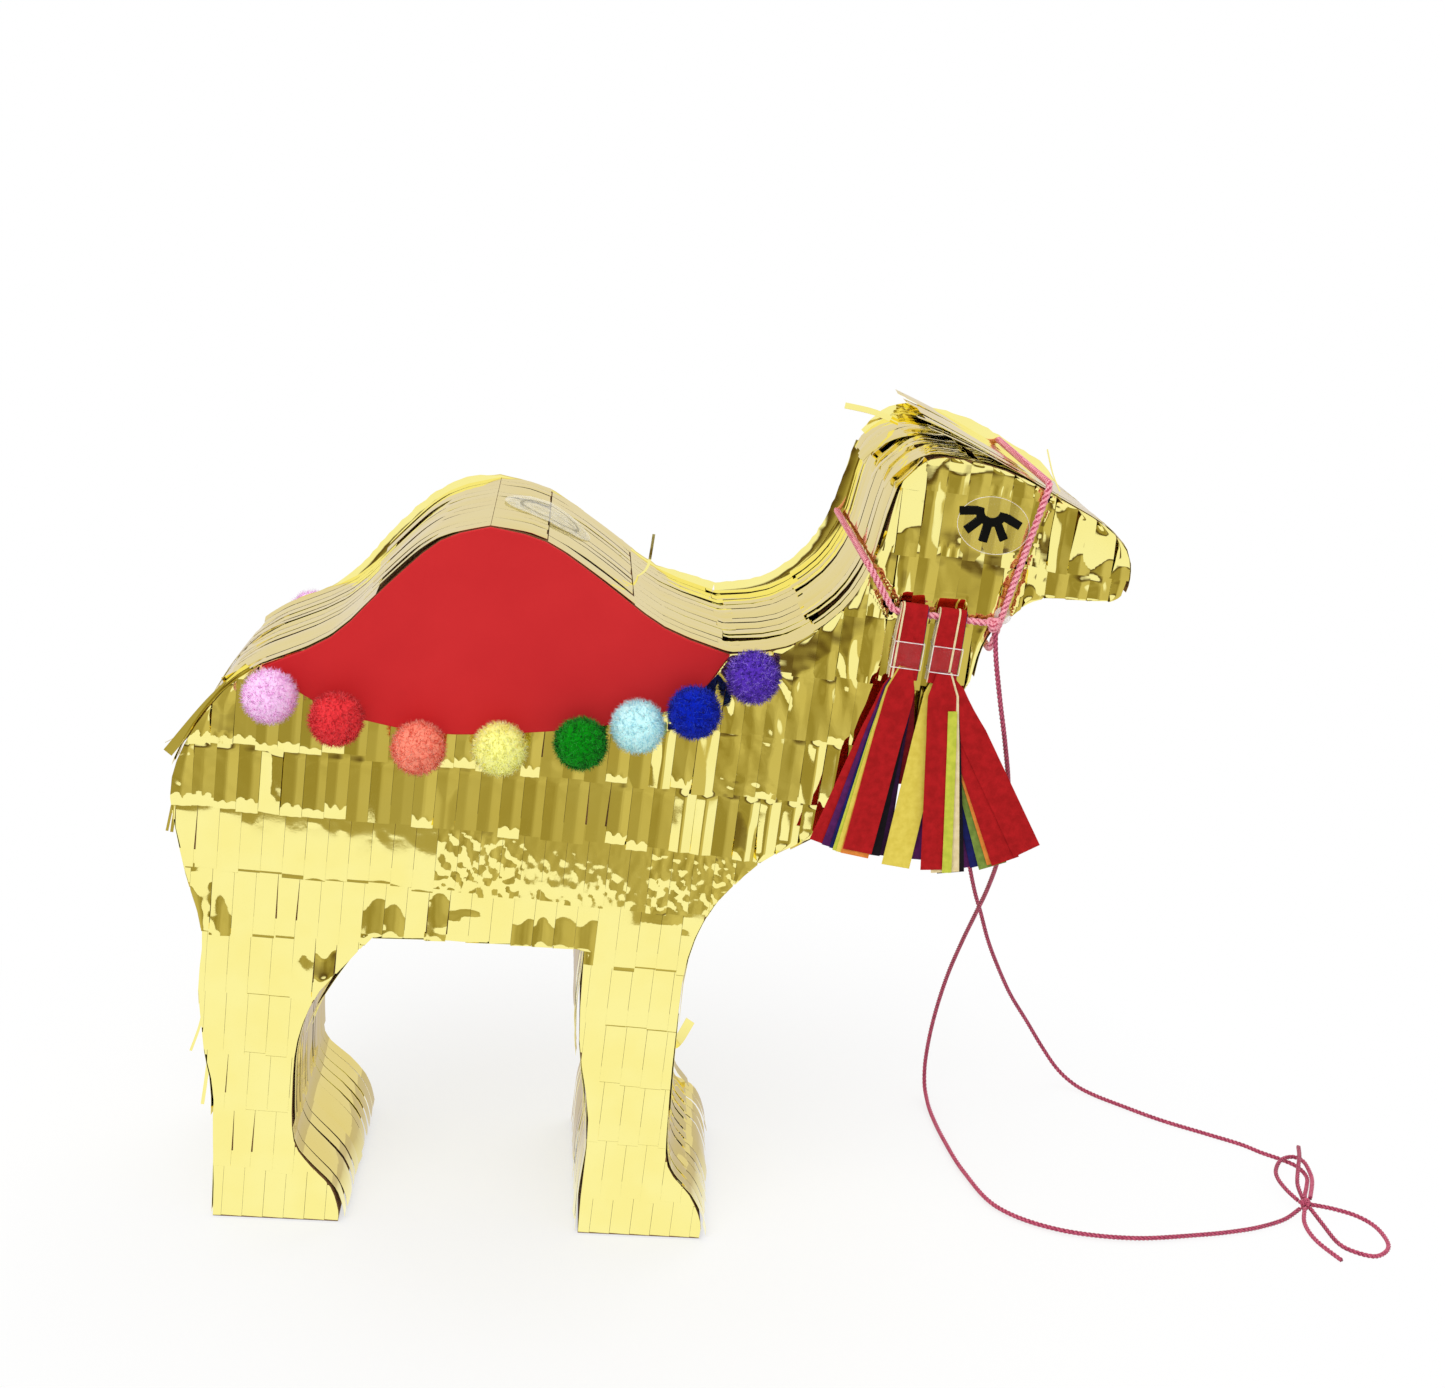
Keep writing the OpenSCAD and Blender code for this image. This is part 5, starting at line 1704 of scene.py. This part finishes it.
@dataclass
class Tassel:
    """A tassel: tissue strips folded over the cheek cord, bound with tape and fanned below it."""

    side: Side
    name: str
    axis: tuple[float, float]
    strips: list[TissueStrip]
    pale_edge: float
    tilt: float = 3.52178
    cheek_y: float = 61.2524
    width: float = 12.0
    length: float = 118.0
    tape_drop: float = 12.0
    tape_height: float = 12.0
    hole: float = 1.9
    slack: float = 2.0
    tissue: float = 0.14

    def place(self, along: np.ndarray, out: np.ndarray, up: np.ndarray) -> np.ndarray:
        """Points in the tassel's own frame, in the part's frame.

        Args:
            along: distance along the cheek cord, towards the head's front.
            out: distance away from the body.
            up: distance above the cord, square to it.
        Returns:
            The points.
        """
        a = math.radians(self.tilt)
        along, out, up = np.broadcast_arrays(along, out, up)
        return np.stack([self.axis[0] + along * math.cos(a) + up * math.sin(a), self.side.value * (self.cheek_y + out),
                         self.axis[1] - along * math.sin(a) + up * math.cos(a)], axis=-1)

    def fold(self, pile: Strips, grow: float, slot: int, shift: float, width: float, foot: float) -> None:
        """Adds one sheet folded over the cord.

        Args:
            pile: the tassel's strips.
            grow: its distance outside the hole for the cord.
            slot: its material slot.
            shift: its place along the cord.
            width: its width.
            foot: how far down it goes.
        """
        r = self.hole + grow
        turn = np.linspace(0, math.pi, 9)
        high = self.slack * (1 - 0.12 * grow)
        out = np.concatenate([np.linspace(r + 0.5, r, 9), r * np.cos(turn), np.full(9, -r)])
        up = np.concatenate([np.linspace(foot, high - 0.4, 9), high + r * np.sin(turn),
                             np.linspace(high - 0.4, foot, 9)])
        along = shift + width / 2 * np.linspace(-1, 1, 5)[None] * (1 - 0.06 * np.clip(1 + up / 8, 0, 1))[:, None]
        grid = self.place(along, out[:, None], up[:, None])
        if np.cross(grid[0, 1] - grid[0, 0], grid[1, 0] - grid[0, 0]) @ np.array([0, self.side.value, 0]) < 0:
            grid = grid[:, ::-1]
        normal = np.cross(np.gradient(grid, axis=1), np.gradient(grid, axis=0))
        pile.add(grid, self.tissue, normal.mean(axis=(0, 1)), slot)

    def hang(self, pile: Strips, strip: TissueStrip, slot: int, chance: random.Random) -> None:
        """Adds one strip that hangs below the tape.

        Args:
            pile: the tassel's strips.
            strip: the strip.
            slot: its material slot.
            chance: random numbers.
        """
        top = -self.tape_drop - self.tape_height + 0.5
        root = self.place(np.array(0.0), np.array(0.0), np.array(top))
        reach = self.length + top
        down = np.linspace(strip.start, strip.end * reach - chance.uniform(0, 2.5) * (strip.end == 1), 18)[:, None]
        share = down / reach
        v = np.linspace(-1, 1, 5)[None]
        half = strip.width / 2 * (0.45 + 0.55 * np.clip(down / 11, 0, 1)) * (1 + 0.06 * share)
        swell = 0.4 + 0.32 * max(strip.out + 1, 0)
        off = strip.out + swell * np.sin(share * math.pi * 0.7) * share
        off = off + 0.05 * np.sin(share * 7 + chance.uniform(0, 6)) * share
        off = off + 0.04 * chance.uniform(-1, 1) * v * share
        bent = math.radians(strip.fan) * (0.75 + 0.25 * np.clip(share * 3, 0, 1))
        x = root[0] + strip.shift + np.sin(bent) * down + np.cos(bent) * half * v
        z = root[2] - np.cos(bent) * down + np.sin(bent) * half * v
        grid = np.stack([x, self.side.value * (self.cheek_y + off + 0 * x), z], axis=-1)
        pile.add(grid, self.tissue, (0, self.side.value, 0), slot)

    def build(self) -> None:
        """Builds the tassel, and edges its tape."""
        chance = random.Random(len(self.name) * 31 + self.side.value)
        pile = Strips()
        tones = list(dict.fromkeys([Tissue.RED, Tissue.CREAM] + [s.tone for s in self.strips]))
        foot = -self.tape_drop - self.tape_height - 5
        sheets = ((0.75, Tissue.RED, 0.0, self.width), (0.4, Tissue.CREAM, -0.5, self.width),
                  (0.05, self.strips[3].tone, 0.4, self.width), (1.05, Tissue.CREAM, self.pale_edge, 0.9))
        for grow, tone, shift, width in sheets:
            self.fold(pile, grow, tones.index(tone), shift, width, foot)
        for strip in self.strips:
            self.hang(pile, strip, tones.index(strip.tone), chance)
        stem = f"{self.side.name.lower()}_{self.name}"
        pile.piece(f"tissue_{stem}_tassel", [t.value for t in tones], f"{stem}_tassel", "tissue_red",
                   [f"{stem}_tassel"])
        self.tape(stem)

    def tape(self, stem: str) -> None:
        """Edges the tape with the fine pale line of its cut ends, a painted highlight where they catch the light.

        Args:
            stem: start of the tassel's names.
        """
        edge = Strips()
        half, low, high = self.width / 2 + 0.66, -3.75, 4.5
        corners = [(-half, low), (half, low), (half, high), (-half, high), (-half, low)]
        for up in (-self.tape_drop, -self.tape_drop - self.tape_height + 0.4):
            for (ax, ay), (bx, by) in zip(corners, corners[1:]):
                t = np.linspace(0, 1, 3)[None]
                grid = self.place(ax + (bx - ax) * t, ay + (by - ay) * t, np.array([[up], [up - 0.4]]))
                edge.add(grid, 0.12, self.place((ax + bx) / 2, (ay + by) / 2 - 0.4, up) - self.place(0.0, 0.0, up))
        for along in (-half + 0.15, half - 0.15):
            up = np.array([[-self.tape_drop - 0.4], [-self.tape_drop - self.tape_height + 0.4]])
            edge.add(self.place(along + np.array([[-0.15, 0.15]]), high + 0.02, up), 0.12, (0, self.side.value, 0))
        edge.piece(f"tape_edge_{stem}", [TAPE_EDGE_GLINT], f"{stem}_tassel", "tape_clear", [])


REAR_STRIPS = [
    TissueStrip(-8.2, 4.3, Tissue.RED, 12.4, 0, 0.91, 0.6),
    TissueStrip(-17.8, 2.0, Tissue.RED, 12, 0, 0.93),
    TissueStrip(-14.0, 2.4, Tissue.PURPLE, 12, 0, 0.93),
    TissueStrip(-11.8, 2.8, Tissue.NAVY, 11.6, 0, 0.93),
    TissueStrip(-10.7, 3.15, Tissue.LIME, 11.8, 0, 0.935),
    TissueStrip(-9.6, 3.5, Tissue.YELLOW, 12, 0, 0.935),
    TissueStrip(-8.6, 3.85, Tissue.ORANGE, 12, 0, 0.935, 0.6),
    # Painted shadow: a near-black strip where the tassel lies in shade.
    TissueStrip(-4.6, 1.2, Tissue.BLACK, 12, 0, 0.93),
    TissueStrip(-2.6, 0.7, Tissue.PLUM, 12, 0, 0.93),
    TissueStrip(-2.2, 0.2, Tissue.ORANGE, 11, 0, 0.9),
    # Painted shadow: a near-black strip where the tassel lies in shade.
    TissueStrip(-1.8, -0.4, Tissue.BLACK, 11.5, 0, 0.9),
    TissueStrip(5.0, -0.9, Tissue.DARK_RED, 11.0, 0, 0.58),
    TissueStrip(-5.0, -3.2, Tissue.DARK_RED, 12, 0, 0.9),
]
FRONT_STRIPS = [
    TissueStrip(4.6, 4.2, Tissue.RED, 12.6, 0, 0.96),
    TissueStrip(31, 3.2, Tissue.RED),
    TissueStrip(24.5, 2.8, Tissue.RED),
    TissueStrip(18.7, 1.2, Tissue.NAVY),
    TissueStrip(16.4, 0.8, Tissue.PURPLE),
    TissueStrip(20.9, 1.7, Tissue.GREEN),
    TissueStrip(23.3, 2.3, Tissue.ORANGE),
    TissueStrip(4.8, 4.6, Tissue.LIME, 4.0, 17, 0.97, 4.8),
    TissueStrip(6.8, 3.85, Tissue.CREAM, 12.0, 0, 0.975, 1.0),
    # Painted shadow: a near-black strip where the tassel lies in shade.
    TissueStrip(8.4, 3.5, Tissue.BLACK, 11.5, 0, 0.98, 1.0),
    TissueStrip(-6.4, 2.0, Tissue.YELLOW, 12, 0, 0.97),
    TissueStrip(-1.4, 0.3, Tissue.PURPLE, 12, 0, 0.93),
    TissueStrip(11, -3.2, Tissue.DARK_RED, 12, 0, 0.97),
]
POMPOMS = [
    Pompom("pink", "#FFD4FA", "#FCB4F0", "#FFE8FD"),
    Pompom("red", "#EE3A40", "#CE2830", "#FA5A5C"),
    Pompom("coral", "#FF957C", "#F66E56", "#FFB09A"),
    Pompom("yellow", "#FFFF9C", "#FFF880", "#FFFFC8"),
    Pompom("green", "#028C0C", "#046410", "#2CB03A"),
    Pompom("sky", "#D3FFFF", "#B4ECFA", "#E8FFFF"),
    Pompom("navy", "#0422B6", "#041280", "#2848DC"),
    Pompom("purple", "#5A34B8", "#3A1E88", "#A482F2", 11),
]


@dataclass
class Studio:
    """Camera, floor and light."""

    place: tuple[float, float, float] = (-43.9, -888.6, 515.6)
    right: tuple[float, float, float] = (0.99366, -0.06329, 0.09290)
    down: tuple[float, float, float] = (0.07089, -0.28852, -0.95484)
    ahead: tuple[float, float, float] = (0.08724, 0.95538, -0.28221)
    focal_pixels: float = 2000.0
    image_width: float = 1445.0
    floor_turn: float = 22.9
    floor_front: float = 472.0
    floor_back: float = 900.0
    floor_side: float = 1100.0
    # Painted shade on the floor behind the camel, as seen in reflections.
    floor_painted_shade: tuple[float, ...] = (0.6, 0.53, 0.52, 1)
    room_dim: tuple[float, ...] = (0.325, 0.265, 0.08, 1)
    room_lit: tuple[float, ...] = (0.61, 0.535, 0.275, 1)
    room_dark: tuple[float, ...] = (0.07, 0.035, 0.008, 1)
    room_bright: tuple[float, ...] = (0.97, 0.97, 0.97, 1)
    backdrop: tuple[float, ...] = (0.78, 0.71, 0.66, 1)

    def camera(self) -> None:
        """Sets the camera at the photograph's viewpoint."""
        data = bpy.data.cameras.new("camera")
        data.sensor_fit = "HORIZONTAL"
        data.sensor_width = 36.0
        data.lens = 36.0 * self.focal_pixels / self.image_width
        data.clip_start, data.clip_end = 0.01, 50.0
        made = bpy.data.objects.new("camera", data)
        turn = Matrix([self.right, [-c for c in self.down], [-c for c in self.ahead]]).transposed()
        made.matrix_world = Matrix.Translation(Vector(self.place) * MM) @ turn.to_4x4()
        bpy.context.scene.collection.objects.link(made)
        bpy.context.scene.camera = made

    def floor(self) -> None:
        """Lays a sheet of white paper on the floor, with its front edge out of the picture. In reflections it glows
        white, with a painted shade behind the camel.
        """
        mesh = bpy.data.meshes.new("floor_paper")
        a = math.radians(self.floor_turn)
        wide, near, far = self.floor_side, self.floor_front, self.floor_back
        corners = [(-wide, -near), (wide, -near), (wide, far), (-wide, far)]
        points = [(x * math.cos(a) - y * math.sin(a), x * math.sin(a) + y * math.cos(a), -0.3) for x, y in corners]
        mesh.from_pydata((np.array(points) * MM).tolist(), [], [[0, 1, 2, 3]])
        made = bpy.data.objects.new("floor_paper", mesh)
        bpy.context.scene.collection.objects.link(made)
        paint = bpy.data.materials.new("white_background_paper")
        paint.use_nodes = True
        tree = paint.node_tree
        shader = tree.nodes["Principled BSDF"]
        shader.inputs["Base Color"].default_value = linear("#F4F4F4")
        shader.inputs["Roughness"].default_value = 0.9
        shader.inputs["Specular IOR Level"].default_value = 0.0
        place = add_node(tree, "TexCoord", {}).outputs["Object"]
        apart = add_node(tree, "VectorMath", {0: place}, operation="LENGTH").outputs["Value"]
        fade = add_node(tree, "MapRange", {"Value": apart, "From Min": 0.12, "From Max": 0.4, "To Min": 0.6})
        path = add_node(tree, "LightPath", {}).outputs
        seen = add_node(tree, "Math", {0: fade, 1: path["Is Camera Ray"]}, operation="MULTIPLY")
        either = add_node(tree, "Math", {0: seen, 1: path["Is Glossy Ray"]}, operation="MAXIMUM")
        axes = add_node(tree, "SeparateXYZ", {"Vector": place}).outputs
        # In reflections the floor glows white in front and takes a painted shade behind the camel.
        back = add_node(tree, "MapRange", {"Value": axes["Y"], "From Min": -0.05, "From Max": 0.06})
        painted_shade_share = add_node(tree, "Math", {0: back, 1: path["Is Glossy Ray"]}, operation="MULTIPLY")
        tint = add_node(tree, "Mix", {0: painted_shade_share, 6: (1, 1, 1, 1), 7: self.floor_painted_shade}, data_type="RGBA")
        glow = add_node(tree, "Emission", {"Color": tint.outputs[2], "Strength": 1.0})
        mix = add_node(tree, "MixShader", {0: either, 1: shader, 2: glow})
        tree.links.new(mix.outputs["Shader"], tree.nodes["Material Output"].inputs["Surface"])
        mesh.materials.append(paint)

    def world(self) -> None:
        """Lights the room.

        It is white to the camera and gives an even soft light. In reflections it is a dim room in front, with light
        from its sides and ceiling, and a pale backdrop behind.
        """
        made = bpy.data.worlds.new("studio")
        made.use_nodes = True
        bpy.context.scene.world = made
        tree = made.node_tree
        tree.nodes.clear()
        out = add_node(tree, "OutputWorld", {})
        place = add_node(tree, "TexCoord", {}).outputs["Generated"]
        axes = add_node(tree, "SeparateXYZ", {"Vector": place}).outputs
        depth = add_node(tree, "Math", {0: axes["Y"], 1: -0.05}, operation="MINIMUM")
        aside = add_node(tree, "Math", {0: axes["X"], 1: depth}, operation="DIVIDE")
        swing = add_node(tree, "Math", {0: aside, 1: 0.07}, operation="SUBTRACT")
        wide = add_node(tree, "Math", {0: swing}, operation="ABSOLUTE")
        blur = add_node(tree, "TexNoise", {"Vector": place, "Scale": 7.0, "Detail": 2.0})
        cloud = add_node(tree, "MapRange", {
            "Value": blur, "From Min": 0.3, "From Max": 0.7, "To Min": -0.15, "To Max": 0.15})
        lit = add_node(tree, "MapRange", {"Value": aside, "From Min": 0.24, "From Max": -0.30})
        tone = add_node(tree, "Math", {0: lit, 1: cloud}, operation="ADD", use_clamp=True)
        dusk = add_node(tree, "MapRange", {"Value": axes["Z"], "From Min": -0.12, "From Max": 0.0, "To Max": 0.85})
        sides = add_node(tree, "MapRange", {"Value": wide, "From Min": 0.62, "From Max": 0.68})
        above = add_node(tree, "MapRange", {"Value": axes["Z"], "From Min": 0.03, "From Max": 0.08})
        bright = add_node(tree, "Math", {0: sides, 1: above}, operation="MAXIMUM")
        behind = add_node(tree, "MapRange", {"Value": axes["Y"], "From Min": 0.0, "From Max": 0.3})
        room = self.room_dim
        for share, colour in ((tone, self.room_lit), (dusk, self.room_dark), (bright, self.room_bright),
                              (behind, self.backdrop)):
            room = add_node(tree, "Mix", {0: share, 6: room, 7: colour}, data_type="RGBA").outputs[2]
        path = add_node(tree, "LightPath", {}).outputs
        seen = add_node(tree, "Math", {0: path["Is Camera Ray"], 1: path["Is Transmission Ray"]}, operation="MAXIMUM")
        soft = add_node(tree, "Background", {"Color": (1, 1, 1, 1), "Strength": 0.75})
        mirror = add_node(tree, "Background", {"Color": room, "Strength": 1.0})
        white = add_node(tree, "Background", {"Color": (1, 1, 1, 1), "Strength": 1.0})
        first = add_node(tree, "MixShader", {0: path["Is Glossy Ray"], 1: soft, 2: mirror})
        last = add_node(tree, "MixShader", {0: seen, 1: first, 2: white})
        tree.links.new(last.outputs["Shader"], out.inputs["Surface"])

    def lamps(self) -> None:
        """Hangs one large soft lamp above and in front, and a weaker one behind."""
        for name, place, power, size in (("key", (-0.5, -1.1, 1.6), 16.0, 1.4), ("fill", (0.7, 1.2, 1.5), 8.0, 1.4)):
            data = bpy.data.lights.new(name, "AREA")
            data.energy, data.size = power, size
            made = bpy.data.objects.new(name, data)
            made.location = place
            made.rotation_euler = (Vector((0, 0, 0.18)) - Vector(place)).to_track_quat("-Z", "Y").to_euler()
            made.visible_glossy = False
            bpy.context.scene.collection.objects.link(made)

    def build(self) -> None:
        """Builds floor, world and lamps, and sets the plain view transform."""
        self.floor()
        self.world()
        self.lamps()
        bpy.context.scene.view_settings.view_transform = "Standard"


def strip_ring(a: tuple[float, float], b: tuple[float, float], half: float) -> np.ndarray:
    """Corners of a narrow band along a line.

    Args:
        a: the line's start, X and Z.
        b: its end.
        half: half the band's width.
    Returns:
        The four corners.
    """
    way = np.subtract(b, a) / math.dist(a, b) * half
    aside = np.array([-way[1], way[0]])
    return np.array([a - way + aside, b + way + aside, b + way - aside, a - way - aside])


@dataclass
class EyeSticker:
    """Clear stickers that carry the lashes: the film presses the fringe flat, and its cut edge catches the light."""

    centre: tuple[float, float] = (141.0, 353.5)
    length: float = 32.0
    height: float = 25.0
    tilt: float = 10.0
    face_y: float = 57.0

    def ring(self, grow: float) -> np.ndarray:
        """Outline of the sticker.

        Args:
            grow: distance outside its cut edge.
        Returns:
            Its corners, X and Z.
        """
        t = np.linspace(0, 2 * math.pi, 72, endpoint=False)
        a = math.radians(-self.tilt)
        x, z = (self.length / 2 + grow) * np.cos(t), (self.height / 2 + grow) * np.sin(t)
        return np.stack([self.centre[0] + x * math.cos(a) - z * math.sin(a),
                         self.centre[1] + x * math.sin(a) + z * math.cos(a)], axis=1)

    def spread(self, x: np.ndarray, z: np.ndarray) -> np.ndarray:
        """Distances from the sticker's middle.

        Args:
            x: the places' X.
            z: the places' Z.
        Returns:
            Each place's distance, 1 at the cut edge.
        """
        a = math.radians(-self.tilt)
        dx, dz = x - self.centre[0], z - self.centre[1]
        along, up = dx * math.cos(a) + dz * math.sin(a), dz * math.cos(a) - dx * math.sin(a)
        return np.hypot(along / self.length * 2, up / self.height * 2)

    def build(self) -> None:
        """Builds the pale line of the cut edge on both sides, a painted highlight where it catches the light."""
        edge = Strips()
        for side in Side:
            inner, outer = [np.concatenate([r, r[:1]]) for r in (self.ring(-0.25), self.ring(-0.05))]
            for half in (slice(0, 37), slice(36, 73)):
                grid = np.stack([inner[half], outer[half]], axis=1)
                y = np.full(grid.shape[:2], side.value * self.face_y)
                edge.add(np.stack([grid[..., 0], y, grid[..., 1]], axis=-1), 0.1, (0, side.value, 0))
        edge.piece("sticker_edge_eyes", [TAPE_EDGE_GLINT], "camel", "film_clear", [])


@dataclass
class SealSticker:
    """Clear round seal over the flap's free edge, with a plain ring pressed into it."""

    outline: Outline
    centre: float
    ring: float = 0.66
    band: float = 1.5
    film: float = 0.05

    def build(self) -> None:
        """Builds the pressed ring on the seal's upper face."""
        points = np.array([v.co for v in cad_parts["seal_sticker"].data.vertices]) / MM
        top = self.outline.clearance(points[:, ::2])[0].max()
        radius = np.ptp(points[:, 1]) / 2 * self.ring
        mark = Strips()
        for turn in (0, math.pi):
            t = np.linspace(turn, turn + math.pi, 37)[:, None]
            size = radius + self.band * np.array([[-0.5, 0.5]])
            s = self.centre + size * np.cos(t)
            facing = self.outline.facing(s, self.centre - 60, self.centre + 60)
            at = self.outline.place(s) + facing * (top + self.film + 0.02)
            mark.add(np.stack([at[..., 0], size * np.sin(t), at[..., 1]], axis=-1), self.film, (0.3, 0, 0.9))
        mark.piece("seal_pressed_ring", [SEAL_MARK], "flap", "film_clear", [])


def dress_nodes() -> None:
    """Gives the CAD nodes that stay their real finishes."""
    card = [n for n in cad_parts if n.endswith(("_panel", "_strip", "_sole"))] + ["fill_flap"]
    wanted = {n: KRAFT for n in card}
    wanted.update({n: TAPE_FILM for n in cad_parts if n.endswith("_tape")})
    wanted.update({"seal_sticker": SEAL_FILM, "eye_stickers": STICKER_FILM, "eye_lashes": BLACK_VINYL,
                   "glue_dabs": SET_GLUE})
    for node, finish in wanted.items():
        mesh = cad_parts[node].data
        mesh.materials.clear()
        mesh.materials.append(finish.material())
        LOG.info("%s: %s", node, finish.name)


def main() -> None:
    """Builds the pinata's pieces over the frame, in order."""
    logging.basicConfig(level=logging.INFO, format="%(name)s %(message)s")
    studio = Studio()
    studio.camera()
    Rein().build()
    halter = Halter()
    halter.build()
    outline = Outline()
    eye = EyeSticker()
    saddle = trace_face("right_saddle")
    # What lies on the film, with the most that the film stands off under it.
    under_sheet, under_cord, under_tassels = 1.05, 1.3, 0.55
    pressed = [(saddle, under_sheet), (eye.ring(0.8), under_sheet),
               (strip_ring(halter.jaw, halter.nose, 3.5), under_cord),
               (strip_ring(halter.nape, halter.cheek, 3.5), under_cord),
               (strip_ring((108.3, 316.2), (129.2, 315.0), 4.2), under_tassels)]
    for side in Side:
        SideFringe(outline, pressed, saddle, eye, side).build()
    fringe = EdgeFringe(outline)
    fringe.build()
    SealSticker(outline, outline.locate(*HUMP_TOP) + fringe.flap_from_top).build()
    Saddle().build()
    eye.build()
    for pompom in POMPOMS:
        pompom.build()
    for side in Side:
        Tassel(side, "rear", (110.483, 313.547), REAR_STRIPS, -4.9).build()
        Tassel(side, "front", (127.451, 312.503), FRONT_STRIPS, 2.6).build()
    dress_nodes()
    studio.build()


if __name__ == "__main__":
    main()
